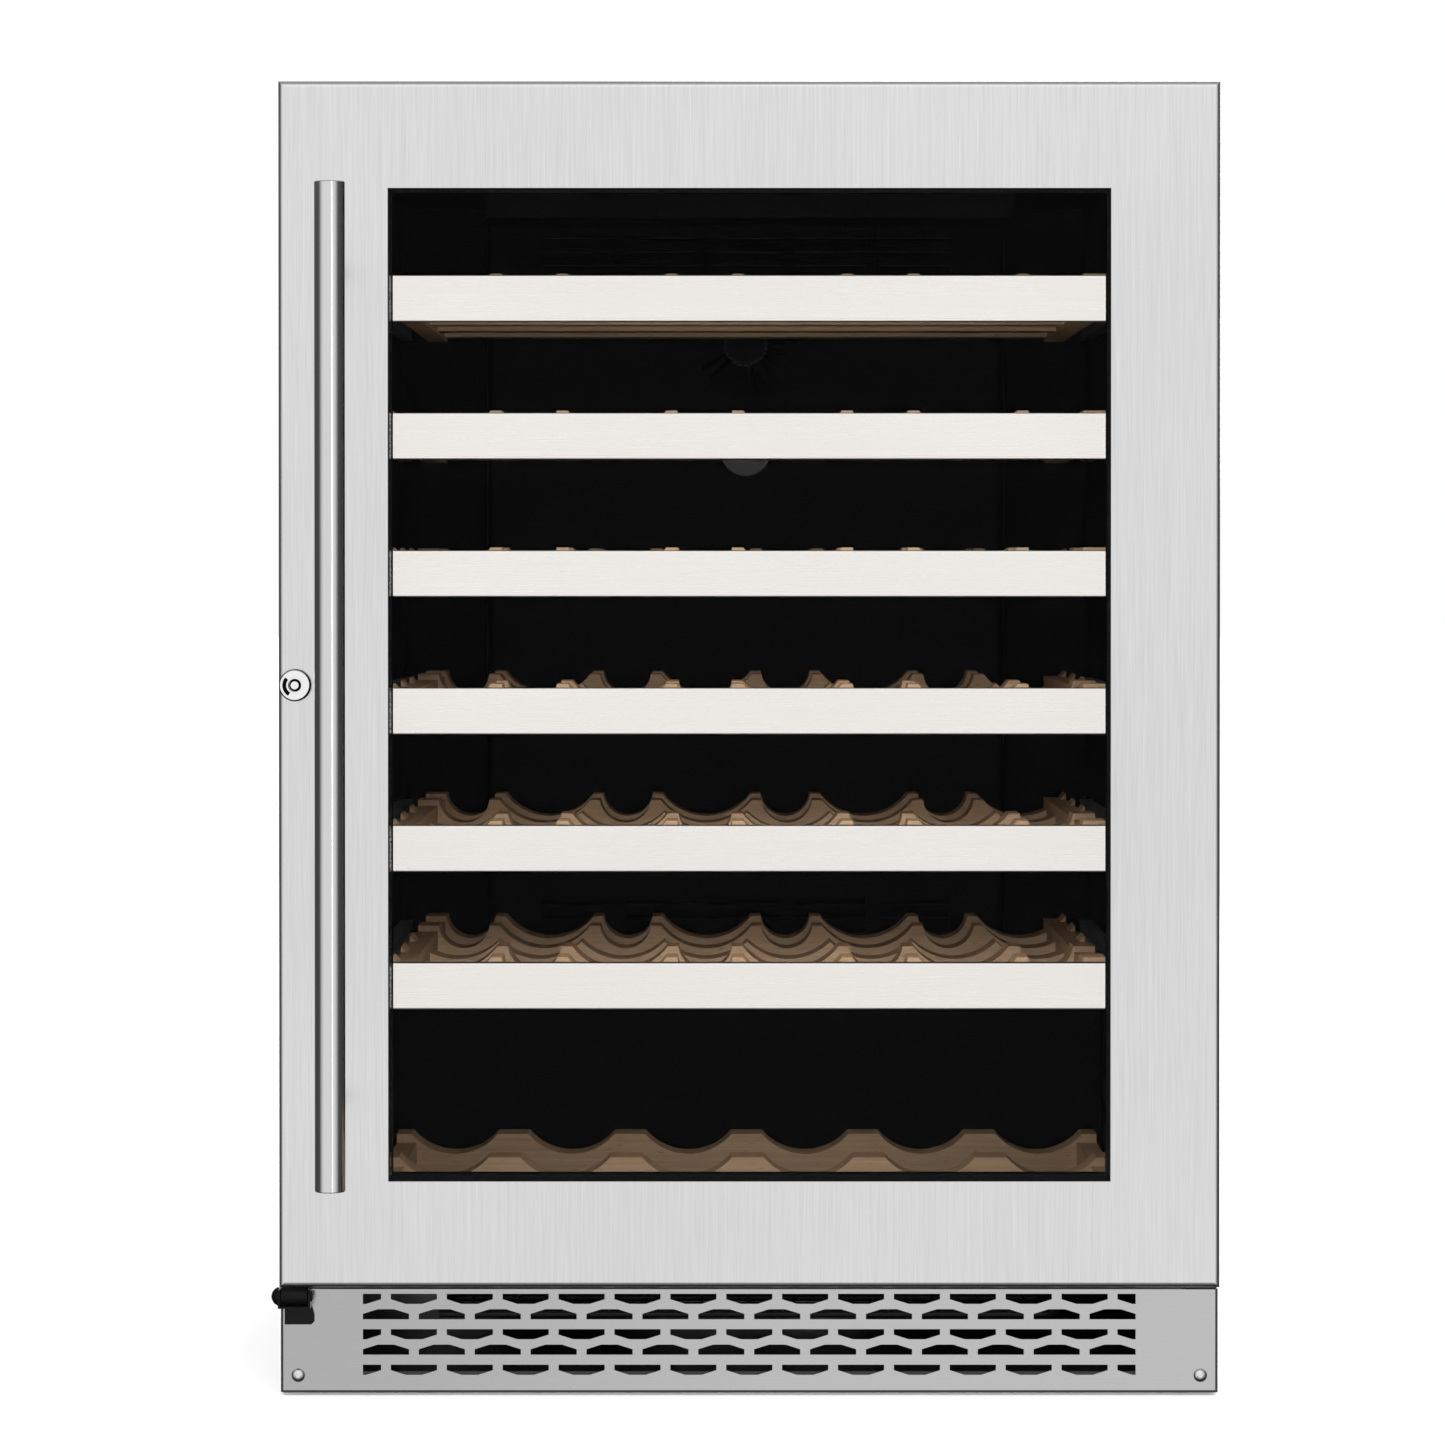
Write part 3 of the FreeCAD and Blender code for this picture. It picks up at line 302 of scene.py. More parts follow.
def moulded(name, tone, rough=0.5, grain=0.0009, depth=SCRATCH_DEPTH, gloss=0.4, warmth=0.0):
    """Moulded plastic with an eroded skin of a grain size and depth in metres."""
    plastic = Finish(name)
    skin = plastic.noise((1 / grain,) * 3, 2.0)
    broad = plastic.noise((14.0, 14.0, 14.0), 2.0)
    return plastic.surface(
        Base_Color=plastic.blend(broad, grey(tone * 0.85, warmth), grey(tone * 1.15, warmth)),
        Roughness=rough + (skin - 0.5) * 0.12 + (broad - 0.5) * 0.06,
        Specular_IOR_Level=gloss, Normal=plastic.bump(skin, depth))


liner_plastic = moulded("liner_plastic", 0.004, rough=0.55, gloss=0.03)
duct_plastic = moulded("duct_plastic", 0.004, rough=0.5, gloss=0.03)
filter_plastic = moulded("filter_plastic", 0.07, rough=0.4, gloss=0.4)
black_plastic = moulded("black_plastic", 0.012)
gloss_plastic = moulded("gloss_plastic", 0.002, rough=0.16, depth=0.000002, gloss=0.04)
frame_plastic = moulded("frame_plastic", 0.010, rough=0.45)
spacer_black = moulded("spacer_black", 0.003, rough=0.6, gloss=0.1)
seal_rubber = moulded("seal_rubber", 0.012, rough=0.7, grain=0.0006, gloss=0.25)
roller_nylon = moulded("roller_nylon", 0.003, rough=0.3, gloss=0.12)
bush_nylon = moulded("bush_nylon", 0.55, rough=0.4, warmth=0.03)
print("plastics:", liner_plastic.name, seal_rubber.name)

# %% [markdown]
# The shelves are beech. Beech is pale pinkish tan with fine grain lines and short darker flecks. The
# slats run across the cooler and the two side rails run from front to back, so the grain has to turn
# at the rails. Both directions are made, and a mask of how far a point lies from the middle picks one.

# %% Beech
GRAIN_DEPTH = 0.00012


def beech_wood(name, rail_at):
    """Beech whose grain runs across between the rails, and front to back on them.

    Grain is noise a millimetre or two wide and many centimetres long. Flecks are shorter and darker.
    """
    beech = Finish(name)
    across = beech.noise((6.0, 520.0, 520.0), 3.0, 0.6)
    lengthways = beech.noise((520.0, 6.0, 520.0), 3.0, 0.6)
    on_rail = abs(beech.x) > rail_at
    grain = across * (1 - on_rail) + lengthways * on_rail
    flecks = (beech.noise((140.0, 900.0, 900.0), 1.0, shift=(3.0, 1.0, 2.0)) - 0.62) * 6
    bands = beech.noise((2.5, 45.0, 45.0), 2.0, shift=(1.0, 5.0, 9.0))
    plain = beech.blend((grain * 0.65 + bands * 0.35 - 0.2) * 1.5, (0.50, 0.31, 0.17, 1.0),
                        (0.80, 0.59, 0.38, 1.0))
    colour = beech.blend(flecks.clamped() * 0.5, plain, (0.24, 0.12, 0.06, 1.0))
    return beech.surface(Base_Color=colour, Roughness=0.52 + (grain - 0.5) * 0.2,
                         Specular_IOR_Level=0.35, Normal=beech.bump(grain, GRAIN_DEPTH))


# How far from the middle the side rails of the shelves and of the bottom rack begin
SHELF_RAIL_INNER = 0.218
RACK_RAIL_INNER = 0.2315
shelf_beech = beech_wood("shelf_beech", SHELF_RAIL_INNER)
rack_beech = beech_wood("rack_beech", RACK_RAIL_INNER)
print("beech:", shelf_beech.name)

# %% [markdown]
# The door's two panes. Window glass lets nearly all light through and mirrors a little, more and more
# towards a flat viewing angle. Glass that bends light would also block every lamp from the inside in a
# path tracer, so each face is a mirror that is almost wholly transparent: its alpha is the share that it
# mirrors. A Fresnel node would see light leaving the back of a pane as trapped inside it, and turn that
# face solid. The share is worked out from the Facing value instead, which is the same on both sides.

# %% Glass
# Mirrored shares: a coated face seen straight on, what a slant adds, and what a grazing view adds
COATED = 0.0006
SLANT_MIRROR = 0.03
EDGE_MIRROR = 0.9


def pane_glass(name):
    """A clear pane with a faint waviness.

    Facing is one minus the cosine of the angle between the view and the face's normal. The mirrored
    share is a coated face's small constant, plus a part that grows with Facing, plus a larger part that
    grows with its fifth power.
    """
    glass = Finish(name)
    facing = glass.node("ShaderNodeLayerWeight", values={"Blend": 0.5}, out="Facing")
    waves = glass.noise((9.0, 9.0, 9.0), 1.0)
    return glass.surface(
        Base_Color=(0.93, 0.95, 0.95, 1.0), Metallic=1.0, Roughness=0.02 + waves * 0.02,
        Alpha=COATED + facing * SLANT_MIRROR + facing ** 5.0 * EDGE_MIRROR)


clear_glass = pane_glass("clear_glass")
print("glass:", clear_glass.name)

# %% [markdown]
# Some frame pieces are one solid but have two materials in life: a levelling foot is a plastic pad
# moulded on a zinc stud, and the power inlet has brass pins in a black shell. Their finish reads where
# a point is, and picks the metal or the plastic there. Colour, metalness and roughness all switch.

# %% Two-part finishes
METAL_ROUGH = 0.3
PLASTIC_ROUGH = 0.5


def two_part(name, is_metal, metal_colour, plastic_tone):
    """Metal where the function of the finish gives 1, and black plastic where it gives 0."""
    both = Finish(name)
    metal = is_metal(both)
    skin = both.noise((900.0, 900.0, 900.0), 2.0)
    dirt = both.noise((40.0, 40.0, 40.0), 3.0)
    plastic = both.blend(dirt, grey(plastic_tone * 0.8), grey(plastic_tone * 1.2))
    colour = both.blend(metal, plastic, metal_colour)
    return both.surface(
        Base_Color=colour, Metallic=metal,
        Roughness=PLASTIC_ROUGH + (skin - 0.5) * 0.15 - metal * (PLASTIC_ROUGH - METAL_ROUGH),
        Normal=both.bump(skin, SCRATCH_DEPTH))


PAD_TOP = 0.0092
foot_finish = two_part("foot_finish", lambda f: f.z > PAD_TOP, (0.55, 0.56, 0.58, 1.0), 0.012)
inlet_low, inlet_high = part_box("power_inlet")
inlet_x = (inlet_low.x + inlet_high.x) / 2
inlet_z = (inlet_low.z + inlet_high.z) / 2
# The brass pins lie within this box about the inlet's middle, and this far below its rim
PINS_HALF_WIDE, PINS_HALF_HIGH, PINS_SUNK = 0.0095, 0.0055, 0.003


def inlet_pins(finish):
    """1 inside the box that holds the pins."""
    level = abs(finish.x - inlet_x) < PINS_HALF_WIDE
    upright = abs(finish.z - inlet_z) < PINS_HALF_HIGH
    return level * upright * (finish.y < inlet_high.y - PINS_SUNK)


inlet_finish = two_part("inlet_finish", inlet_pins, (0.70, 0.52, 0.22, 1.0), 0.008)
print("two-part finishes:", foot_finish.name, inlet_finish.name)

# %% [markdown]
# The lock is chrome with two black enamel marks: the ring of the round keyway, and a curved bar beside
# it that shows which way is locked. A thin black line round its rim is painted shadow of the flange,
# wider at the lower right where the flange stands off the door. All three are masks of how far a point
# lies from the lock's axis and in which direction, so they are worked out with the same three wires.

# %% Lock chrome
lock_low, lock_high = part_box("lock_barrel")
lock_x = (lock_low.x + lock_high.x) / 2
lock_z = (lock_low.z + lock_high.z) / 2
flange_radius = (lock_high.x - lock_low.x) / 2
# Inner and outer radii of the two black marks, in metres
RING_RADII = (0.0025, 0.0041)
BAR_RADII = (0.0038, 0.0078)
# The direction of the bar's middle, half the angle it spans, and the painted rim shadow's widest side
BAR_WAY = math.radians(189)
BAR_HALF = math.radians(49)
RIM_SHADOW_WAY = math.radians(-40)
# The painted rim shadow's width all round, and how much it gains on its widest side
RIM_SHADOW_WIDTH, RIM_SHADOW_GAIN = 0.0004, 0.0008
# The black of the enamel marks, which is also the colour of the painted rim shadow
ENAMEL_AND_SHADOW_BLACK = grey(0.001)


def lock_place(finish):
    """A point's distance from the lock's axis, and its two offsets across the door's face."""
    off_x = finish.x - lock_x
    off_z = finish.z - lock_z
    return (off_x * off_x + off_z * off_z) ** 0.5, off_x, off_z


def keyway_ring(finish):
    """1 between the two radii of the keyway."""
    radius, _, _ = lock_place(finish)
    return (radius > RING_RADII[0]) * (radius < RING_RADII[1])


def barrel_marks_and_shadow(finish):
    """1 on the curved bar and on the painted shadow round the rim.

    The cosine of the angle between two directions is their dot product, divided by the radius.
    """
    radius, off_x, off_z = lock_place(finish)
    towards_bar = off_x * math.cos(BAR_WAY) + off_z * math.sin(BAR_WAY)
    bar = (radius > BAR_RADII[0]) * (radius < BAR_RADII[1]) * (towards_bar > radius * math.cos(BAR_HALF))
    # Painted shadow of the flange all round the rim, widest at the lower right
    towards_rim_shadow = (off_x * math.cos(RIM_SHADOW_WAY) + off_z * math.sin(RIM_SHADOW_WAY)) / flange_radius
    rim_shadow = radius + RIM_SHADOW_GAIN * towards_rim_shadow.clamped() > flange_radius - RIM_SHADOW_WIDTH
    return (bar + rim_shadow).clamped()


def marked_chrome(name, marks):
    """Chrome with black where the function of the finish gives 1: enamel marks, and on the barrel also a
    painted shadow.
    """
    plated = Finish(name)
    filled = marks(plated)
    haze = plated.noise((160.0, 160.0, 160.0), 2.0)
    plating = plated.blend(haze, grey(0.80), grey(0.86))
    return plated.surface(
        Base_Color=plated.blend(filled, plating, ENAMEL_AND_SHADOW_BLACK), Metallic=1 - filled,
        Specular_IOR_Level=0.08, Roughness=0.06 + 0.04 * haze + 0.5 * filled)


barrel_chrome = marked_chrome("barrel_chrome", barrel_marks_and_shadow)
plug_chrome = marked_chrome("plug_chrome", keyway_ring)
print("lock at", round(lock_x, 4), round(lock_z, 4), "flange radius", round(flange_radius, 4))

# %% [markdown]
# Hidden machinery shows when the door is open or through the slots: foam with its bubbly skin, and the
# bare aluminium plate of the evaporator.

# %% Foam and aluminium
BUBBLES_PER_METRE = 350.0
BUBBLE_DEPTH = 0.0006
foam = Finish("foam")
bubbles = foam.node("ShaderNodeTexVoronoi", {"feature": "SMOOTH_F1"},
                    {"Vector": foam.place, "Scale": BUBBLES_PER_METRE})
foam_tone = foam.blend(foam.noise((12.0, 12.0, 12.0)), (0.62, 0.50, 0.28, 1.0), (0.78, 0.68, 0.44, 1.0))
foam_finish = foam.surface(
    Base_Color=foam_tone, Roughness=0.85 + 0.1 * bubbles, Normal=foam.bump(bubbles, BUBBLE_DEPTH))

plate = Finish("aluminium")
rolled = plate.noise((900.0, 900.0, 14.0), 2.0)
aluminium = plate.surface(
    Base_Color=plate.blend(rolled, (0.70, 0.71, 0.72, 1.0), (0.84, 0.85, 0.86, 1.0)), Metallic=1.0,
    Roughness=0.28 + 0.2 * rolled, Normal=plate.bump(rolled, SCRATCH_DEPTH))
print("foam and aluminium:", foam_finish.name, aluminium.name)

# %% [markdown]
# Every node of the frame gets its finish by name. The shelves are six alike, so their names are made
# by number.

# %% Which finish goes where
SHELVES = range(1, 7)
finishes = {
    door_steel: ["door_skin"],
    kick_steel_painted_shade: ["toe_kick_grille"],
    handle_steel: ["handle_bar", "handle_posts"],
    barrel_chrome: ["lock_barrel"],
    plug_chrome: ["lock_plug"],
    screw_steel: ["cabinet_screws"],
    zinc: ["upper_hinge_bracket", "lock_keeper", "lock_cam", "slide_channels",
           *(f"shelf_{n}_runners" for n in SHELVES)],
    back_zinc: ["back_panel"],
    case_paint: ["left_side_panel", "right_side_panel", "top_panel", "front_frame", "base_tray",
                 "compressor", "condenser_coil"],
    bracket_paint_and_shadow_tab: ["roller_bracket", "lower_hinge_bracket"],
    liner_plastic: ["inner_liner"],
    duct_plastic: ["air_duct_cover"],
    filter_plastic: ["carbon_filter"],
    black_plastic: ["rear_feet", "fan_shroud", "condenser_fan", "evaporator_fan"],
    gloss_plastic: ["control_panel"],
    frame_plastic: ["door_inner_frame"],
    spacer_black: ["pane_spacer"],
    seal_rubber: ["door_gasket"],
    roller_nylon: ["door_roller"],
    bush_nylon: ["hinge_bushes"],
    clear_glass: ["outer_pane", "inner_pane"],
    foot_finish: ["front_foot_left", "front_foot_right"],
    inlet_finish: ["power_inlet"],
    rack_beech: ["lower_rack"],
    foam_finish: ["insulation_foam"],
    aluminium: ["evaporator"],
    shelf_beech: [f"shelf_{n}_wood" for n in SHELVES],
    trim_steel_painted_light: [f"shelf_{n}_trim" for n in SHELVES],
}


def dress(piece, material):
    """Gives a whole piece one material."""
    piece.data.materials.clear()
    piece.data.materials.append(material)


for material, names in finishes.items():
    for name in names:
        dress(nodes[name], material)
undressed = sorted(set(nodes) - {name for names in finishes.values() for name in names})
print("nodes without a finish:", undressed)

# %% [markdown]
# Two things on the cooler are softer or finer than the frame shows them: the seal round the door and
# the screws. Both are surfaces on a grid of two parameters. A grid becomes a mesh in one step: every
# point has a row and a column, so the four corners of each face are the same array shifted by one.
#
# A closed surface has an inside and an outside. Adding up the small pyramids from the origin to each
# face gives its volume, and if that comes out negative, the faces are the wrong way round and are
# turned over.

# %% From a grid to a mesh
# Edges that turn by more than this stay crisp
SHARP_ANGLE = math.radians(40)


def shell(points, poles=None):
    """The places and faces of a closed surface, from rows x columns x 3 points whose columns are a ring.

    Without poles the rows run round in a ring too. With two poles, the first and last row each close
    in a fan on one of them.
    """
    rows, columns = points.shape[:2]
    number = np.arange(rows * columns).reshape(rows, columns)
    turned = np.roll(number, -1, axis=1)
    quads = np.stack([number, np.roll(number, -1, axis=0), np.roll(turned, -1, axis=0), turned], axis=-1)
    places = points.reshape(-1, 3)
    faces = (quads if poles is None else quads[:-1]).reshape(-1, 4).tolist()
    if poles is not None:
        places = np.vstack([places, poles])
        faces += [[rows * columns, a, b] for a, b in zip(number[0], turned[0])]
        faces += [[rows * columns + 1, b, a] for a, b in zip(number[-1], turned[-1])]
    thirds = np.array([[f[0], f[i], f[i + 1]] for f in faces for i in range(1, len(f) - 1)])
    one, two, three = places[thirds].transpose(1, 0, 2)
    volume = (one * np.cross(two, three)).sum() / 6
    if volume < 0:
        faces = [face[::-1] for face in faces]
    return places, faces


def new_piece(name, shells, body, stands_for, material):
    """One piece of one or more shells, that rides on a body and stands for a node of the frame."""
    starts = np.cumsum([0] + [len(places) for places, _ in shells])
    faces = [[int(start + corner) for corner in face]
             for start, (_, some) in zip(starts, shells) for face in some]
    mesh = bpy.data.meshes.new(name)
    mesh.from_pydata(np.vstack([places for places, _ in shells]).tolist(), [], faces)
    mesh.shade_smooth()
    mesh.set_sharp_from_angle(angle=SHARP_ANGLE)
    piece = bpy.data.objects.new(name, mesh)
    scene.collection.objects.link(piece)
    dress(piece, material)
    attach(piece, body)
    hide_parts(stands_for)
    print(name, len(shells), "shells,", len(faces), "faces")


print("grid helpers ready")

# %% [markdown]
# The door seal is one soft vinyl extrusion: a flat foot pressed into the door, a bellows of two folds
# that lets it stretch, and a tube on top that holds the magnet strip. It is cut at 45 degrees and
# welded at the corners, so its profile keeps its shape right into each corner. Soft vinyl is never
# quite straight, so the folds waver along their length.

# %% The door seal
seal_low, seal_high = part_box("door_gasket")
# Half of the profile: distance in from the outer edge, and height off the door, in millimetres
SEAL_HALF_PROFILE = np.array([
    [8.0, 0.05], [13.2, 0.05], [15.4, 0.25], [15.8, 1.0], [14.6, 1.9], [12.2, 2.4], [12.0, 2.9],
    [13.9, 3.6], [14.0, 4.1], [11.9, 4.8], [11.9, 5.3], [13.6, 6.0], [14.8, 6.9], [15.0, 8.0],
    [15.0, 10.4], [14.4, 11.5], [12.6, 11.75], [8.0, 11.7]]) / 1000
# The profile's two halves mirror each other about the middle of this width
SEAL_WIDTH = 0.016
SPAN_STEPS = 5
SIDE_STEPS = 40
# Where the folds lie above the door, how far they reach up and down, and how they waver
FOLD_HEIGHT, FOLD_REACH = 0.0042, 0.0016
WAVER, WAVES_PER_SIDE = 0.00018, 7


def smooth_ring(points, steps):
    """A closed curve through the points: a Catmull-Rom cubic for each span, with a number of steps."""
    before, after, beyond = np.roll(points, 1, 0), np.roll(points, -1, 0), np.roll(points, -2, 0)
    t = (np.arange(steps) / steps)[None, :, None]
    p0, p1, p2, p3 = (a[:, None, :] for a in (before, points, after, beyond))
    curve = 0.5 * (2 * p1 + (p2 - p0) * t + (2 * p0 - 5 * p1 + 4 * p2 - p3) * t ** 2
                   + (3 * p1 - p0 - 3 * p2 + p3) * t ** 3)
    return curve.reshape(-1, 2)


def seal_surface():
    """The profile carried round a rectangle.

    A profile point has an inset from the seal's outer edge and a height off the door. Along a side, a
    point runs in a straight line between two corners that are both moved in by its inset, which gives
    the 45 degree welds. A sine of a fifth of a millimetre shifts the folds to and fro. It dies away to
    nothing at the corners, and by a bell curve above and below the folds.
    """
    mirrored = SEAL_HALF_PROFILE[-2:0:-1] * [-1, 1] + [SEAL_WIDTH, 0]
    inset, height = smooth_ring(np.vstack([SEAL_HALF_PROFILE, mirrored]), SPAN_STEPS).T
    height = np.clip(height, 0.0, seal_high.y - seal_low.y)
    along = (np.arange(4 * SIDE_STEPS) / SIDE_STEPS)[:, None]
    side, t = np.floor(along).astype(int), along % 1.0
    fold = np.exp(-((height - FOLD_HEIGHT) / FOLD_REACH) ** 2)
    inset = inset + WAVER * fold * np.sin(2 * np.pi * t * WAVES_PER_SIDE + side) * np.sin(np.pi * t)
    corner_x, corner_z = np.array([-1, 1, 1, -1]), np.array([-1, -1, 1, 1])
    near, far = side % 4, (side + 1) % 4
    middle_x, middle_z = (seal_low.x + seal_high.x) / 2, (seal_low.z + seal_high.z) / 2
    reach_x = (seal_high.x - seal_low.x) / 2 - inset
    reach_z = (seal_high.z - seal_low.z) / 2 - inset
    x = middle_x + reach_x * (corner_x[near] * (1 - t) + corner_x[far] * t)
    z = middle_z + reach_z * (corner_z[near] * (1 - t) + corner_z[far] * t)
    y = np.broadcast_to(seal_low.y + height, x.shape)
    return np.stack([x, y, z], axis=-1)


new_piece("door_seal", [shell(seal_surface())], "door", "door_gasket", seal_rubber)

# %% [markdown]
# The cabinet's screws have low domed heads with a six-lobed socket. A head is a profile turned about
# the screw's axis: down the socket's wall, over the dome, under the head and down the shank. The socket
# isn't round, so the turning radius of those rows swings six times in one turn.

# %% The screws
SCREW_COLUMNS = 48
# In head radii: the socket's mean radius, its floor, the dome's sphere, and the shank
SOCKET, SOCKET_FLOOR, DOME, SHANK = 0.40, 0.04, 1.25, 1 / 2.2
LOBES, LOBE_DEPTH = 6, 0.17

plate_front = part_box("toe_kick_grille")[0].y
face_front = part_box("front_frame")[0].y
screw_low, screw_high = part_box("cabinet_screws")
# Each row: place, head radius, shank length, and whether the head looks up rather than to the front.
# Two hold the toe-kick plate, three the upper and two the lower hinge bracket, and one the lock keeper.
TOP_SCREW_Y, TOP_SCREW_Z = face_front + 0.035, screw_high.z - 0.0020
LOW_SCREW_X, LOW_SCREW_Y = 0.288, face_front - 0.003
KEEPER_SCREW = (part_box("lock_keeper")[0].x + 0.0028, face_front - 0.002, lock_z - 0.020)
SCREWS = [((x, plate_front, 0.013), 0.0043, 0.0012, False) for x in (-0.2865, 0.2865)]
SCREWS += [((x, TOP_SCREW_Y, TOP_SCREW_Z), 0.0040, 0.003, True) for x in (0.250, 0.268, 0.286)]
SCREWS += [((LOW_SCREW_X, LOW_SCREW_Y, z), 0.0035, 0.003, False) for z in (0.082, 0.094)]
SCREWS += [(KEEPER_SCREW, 0.0024, 0.002, False)]


def screw_surface(place, head, length, upright):
    """Rows and columns of one screw, and its two poles.

    The dome is part of a sphere of 1.25 head radii: a point's height is the root of the sphere's radius
    squared less its own radius squared, less three quarters of a head radius, which puts the rim on the
    sheet. The socket's radius is its mean times one plus a sixth of the cosine of six times the angle.
    An upright screw points up, another one points to the front.
    """
    turn = np.linspace(0, 2 * np.pi, SCREW_COLUMNS, endpoint=False)
    lobed = SOCKET * head * (1 + LOBE_DEPTH * np.cos(LOBES * turn))
    dome_radii = np.concatenate([SOCKET + 0.1 + np.linspace(0, 0.44, 6), [0.975, 0.995]]) * head
    round_row = np.ones_like(turn)
    dome = np.sqrt((DOME * head) ** 2 - dome_radii ** 2) - 0.75 * head
    top = np.sqrt((DOME * head) ** 2 - lobed ** 2) - 0.75 * head
    floor_height = SOCKET_FLOOR * head
    rows = [(lobed * 0.93, floor_height * round_row), (lobed * 0.97, top - 0.06 * head),
            (lobed * 1.04, top)]
    rows += [(radius * round_row, height * round_row) for radius, height in zip(dome_radii, dome)]
    rows += [(head * round_row, 0.0 * round_row), (head * SHANK * round_row, 0.0 * round_row),
             (head * SHANK * round_row, -length * round_row)]
    radius = np.array([row[0] for row in rows])
    out = np.array([row[1] for row in rows])
    poles = np.array([[0.0, 0.0, floor_height], [0.0, 0.0, -length]])
    local = np.stack([radius * np.cos(turn), radius * np.sin(turn), out], axis=-1)
    if not upright:
        local = np.stack([local[..., 0], -local[..., 2], local[..., 1]], axis=-1)
        poles = np.stack([poles[:, 0], -poles[:, 2], poles[:, 1]], axis=-1)
    return local + np.array(place), poles + np.array(place)


new_piece("screw_heads", [shell(*screw_surface(*row)) for row in SCREWS], "cabinet",
          "cabinet_screws", screw_steel)
print("frame's screws", [round(v, 4) for v in (*screw_low, *screw_high)])
made = np.array([tuple(vertex.co) for vertex in bpy.data.objects["screw_heads"].data.vertices])
print("new screws    ", made.min(axis=0).round(4).tolist(), made.max(axis=0).round(4).tolist())

# %% [markdown]
# The lamps. A slim upright strip to the right draws the bright line on the round handle, and lights
# nothing but the handle and the lock. A low lamp lights only the toe-kick plate, more at its right end.
# A third one stands behind the cooler, for its back. The ceiling is a sun so wide that its shadows
# almost vanish. The camera doesn't see the lamps.
#
# Some pieces don't show in mirrors, because a studio keeps such reflections out: the back of the door
# in the shelf fronts, the handle in the door, and the pale shelves in the handle's dark edge.

# %% Lights


def soft_light(name, place, target, width, height, power):
    """A rectangular lamp at a place, turned to face a target. Power is in watts."""
    lamp = bpy.data.lights.new(name, "AREA")
    lamp.shape = "RECTANGLE"
    lamp.size = width
    lamp.size_y = height
    lamp.energy = power
    holder = bpy.data.objects.new(name, lamp)
    scene.collection.objects.link(holder)
    way = Vector(target) - Vector(place)
    holder.location = place
    holder.rotation_euler = way.to_track_quat("-Z", "Y").to_euler()
    holder.visible_camera = False
    return holder


def sunlight(name, strength):
    """A sun that shines straight down. Strength is in watts for each square metre."""
    lamp = bpy.data.lights.new(name, "SUN")
    lamp.energy = strength
    holder = bpy.data.objects.new(name, lamp)
    scene.collection.objects.link(holder)
    return holder


def light_only(lamp, pieces):
    """Links a lamp to some pieces, so that it lights nothing else."""
    group = bpy.data.collections.new(lamp.name + "_lights")
    for piece in pieces:
        group.objects.link(piece)
    lamp.light_linking.receiver_collection = group


strip = soft_light("handle_strip", place=(0.90, -3.05, 0.55), target=(-0.26, -0.30, 0.45),
                   width=0.06, height=2.6, power=5)
light_only(strip, [nodes["handle_bar"], nodes["lock_barrel"], nodes["lock_plug"]])
kick_glow = soft_light("kick_glow", place=(0.80, -2.75, -0.37), target=(0.80, 0.0, -0.37),
                       width=2.0, height=1.5, power=2.5)
kick_glow.data.use_shadow = False
light_only(kick_glow, [nodes["toe_kick_grille"]])
soft_light("back_fill", place=(1.2, 3.4, 1.8), target=(0.0, 0.3, 0.4), width=2.5, height=2.5, power=60)

ceiling = sunlight("ceiling", 1.9)
ceiling.data.angle = math.radians(120)
ceiling.rotation_euler = (math.radians(14), 0.0, 0.0)
ceiling.visible_glossy = False

UNMIRRORED = ["door_skin", "door_inner_frame", "pane_spacer", "handle_bar"]
UNMIRRORED += [f"shelf_{n}_{part}" for n in SHELVES for part in ("trim", "wood")]
for name in UNMIRRORED:
    nodes[name].visible_glossy = False

# %% [markdown]
# The room's own light comes from the world, and its strength depends only on the direction. It is
# bright in front, for the flat steel to mirror, and dim at the sides, because the rounded edges of the
# steel then turn dark, as they do in a real studio with black cards at the sides. A smaller glow behind
# does the same for an opened door, a weak one above lights the roof, and the light fades towards the
# floor. The camera itself sees plain white instead.

# %% The room
# The bright front faces this far round from straight ahead, towards the handle's side
SWING = math.radians(4)
# Cosines between which the front glow and the rear glow grow from nothing to full
FRONT_FADE, REAR_FADE = (0.15, 0.82), (0.86, 0.97)
FLOOR_FADE = (-0.65, -0.28)
ALL_ROUND, FRONT, REAR, ABOVE, NEAR_FLOOR = 0.08, 0.95, 0.45, 0.35, 0.3

world = bpy.data.worlds.new("studio")
scene.world = world
world.use_nodes = True
sky = world.node_tree
sky.nodes.clear()
direction = sky.nodes.new("ShaderNodeTexCoord")
parts = sky.nodes.new("ShaderNodeSeparateXYZ")
sky.links.new(direction.outputs["Generated"], parts.inputs[0])
across = Wire(sky, parts.outputs[0])
behind = Wire(sky, parts.outputs[1])
up = Wire(sky, parts.outputs[2])
facing = -math.sin(SWING) * across - math.cos(SWING) * behind


def fade(value, low, high):
    """0 below low, 1 above high, and a smooth step between them."""
    step = sky.nodes.new("ShaderNodeMapRange")
    step.interpolation_type = "SMOOTHSTEP"
    step.inputs["From Min"].default_value = low
    step.inputs["From Max"].default_value = high
    join(sky, step.inputs["Value"], value)
    return Wire(sky, step.outputs[0])


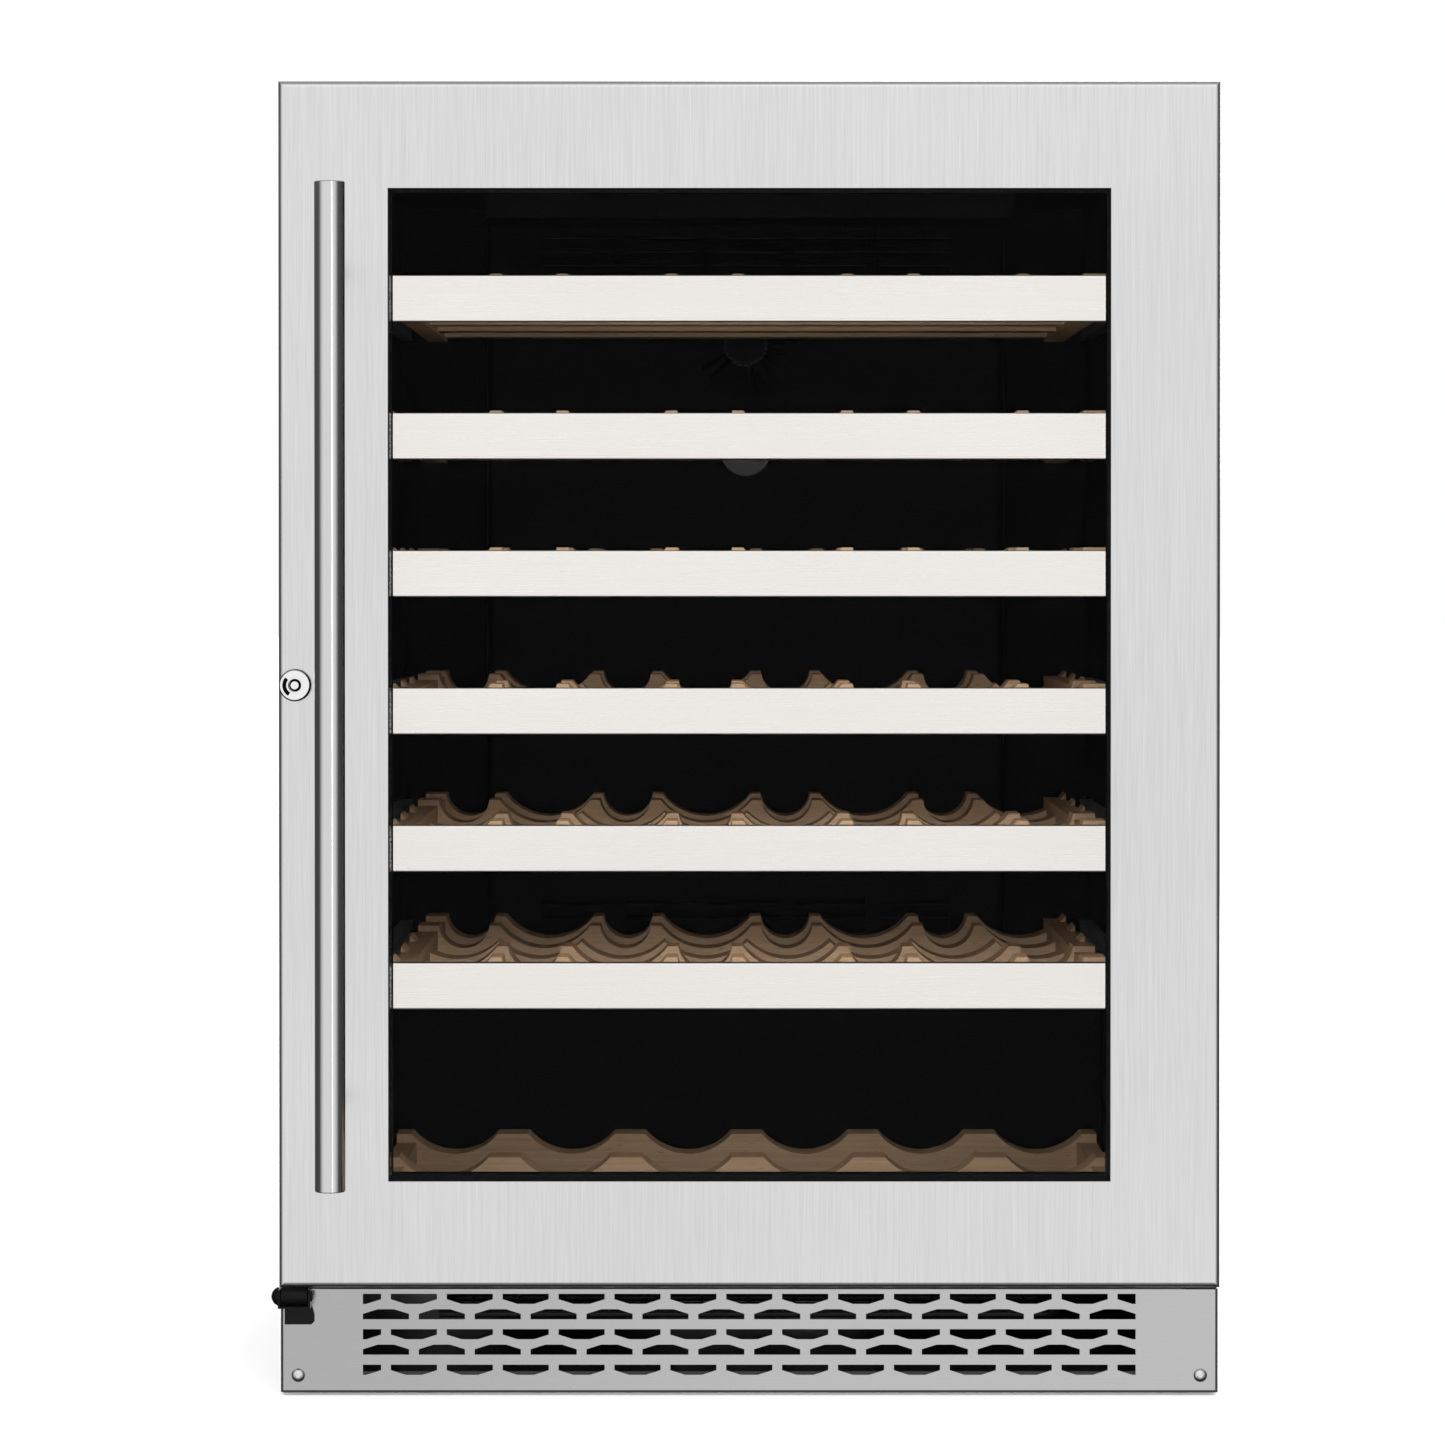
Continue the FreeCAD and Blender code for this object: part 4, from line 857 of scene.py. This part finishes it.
front = FRONT * fade(facing, *FRONT_FADE)
rear = REAR * fade(-1 * facing, *REAR_FADE)
above = ABOVE * up.clamped()
dimming = NEAR_FLOOR + (1 - NEAR_FLOOR) * fade(up, *FLOOR_FADE)
glow = (ALL_ROUND + front + rear + above) * dimming
rays = sky.nodes.new("ShaderNodeLightPath")
seen = Wire(sky, rays.outputs["Is Camera Ray"])
strength = glow * (1 - seen) + seen
backdrop = sky.nodes.new("ShaderNodeBackground")
backdrop.inputs["Color"].default_value = (1.0, 1.0, 1.0, 1.0)
join(sky, backdrop.inputs["Strength"], strength)
world_out = sky.nodes.new("ShaderNodeOutputWorld")
sky.links.new(backdrop.outputs[0], world_out.inputs[0])
print("room light set")

# %% [markdown]
# The floor is a pale square that reaches far past the view. A sun of its own, without shadows, keeps it
# nearly white, so that only a faint shadow of the cooler is left on it.

# %% The floor
FLOOR_REACH = 30.0
floor_mesh = bpy.data.meshes.new("floor")
corners = np.array([[-1, -1, 0], [1, -1, 0], [1, 1, 0], [-1, 1, 0]], float) * FLOOR_REACH
floor_mesh.from_pydata(corners.tolist(), [], [(0, 1, 2, 3)])
floor = bpy.data.objects.new("floor", floor_mesh)
scene.collection.objects.link(floor)
ground = Finish("pale_floor")
mottle = ground.noise((3.0, 3.0, 3.0), 3.0)
dress(floor, ground.surface(
    Base_Color=ground.blend(mottle, grey(0.95), grey(0.98)), Roughness=0.8 + 0.1 * mottle,
    Specular_IOR_Level=0.1))
floor.visible_glossy = False
floor_fill = sunlight("floor_fill", 1.2)
floor_fill.data.use_shadow = False
light_only(floor_fill, [floor])
print("floor:", floor.name)

# %% [markdown]
# The camera stands three metres in front of the door, a little above its middle, and looks very
# slightly down. Most of the lowering is a lens shift, which keeps the upright edges upright.

# %% Camera
DOOR_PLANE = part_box("door_skin")[0].y
CAMERA_AWAY = 3.0
CAMERA_DOWN = math.radians(0.55)
eye = bpy.data.cameras.new("camera")
eye.lens = 118.4
eye.sensor_width = 36.0
eye.shift_y = -0.08
camera = bpy.data.objects.new("camera", eye)
camera.location = (-0.017, DOOR_PLANE - CAMERA_AWAY, 0.530)
camera.rotation_euler = (math.radians(90) - CAMERA_DOWN, 0.0, 0.0)
scene.collection.objects.link(camera)
scene.camera = camera
scene.view_settings.view_transform = "Standard"
print("camera at", [round(v, 3) for v in camera.location])
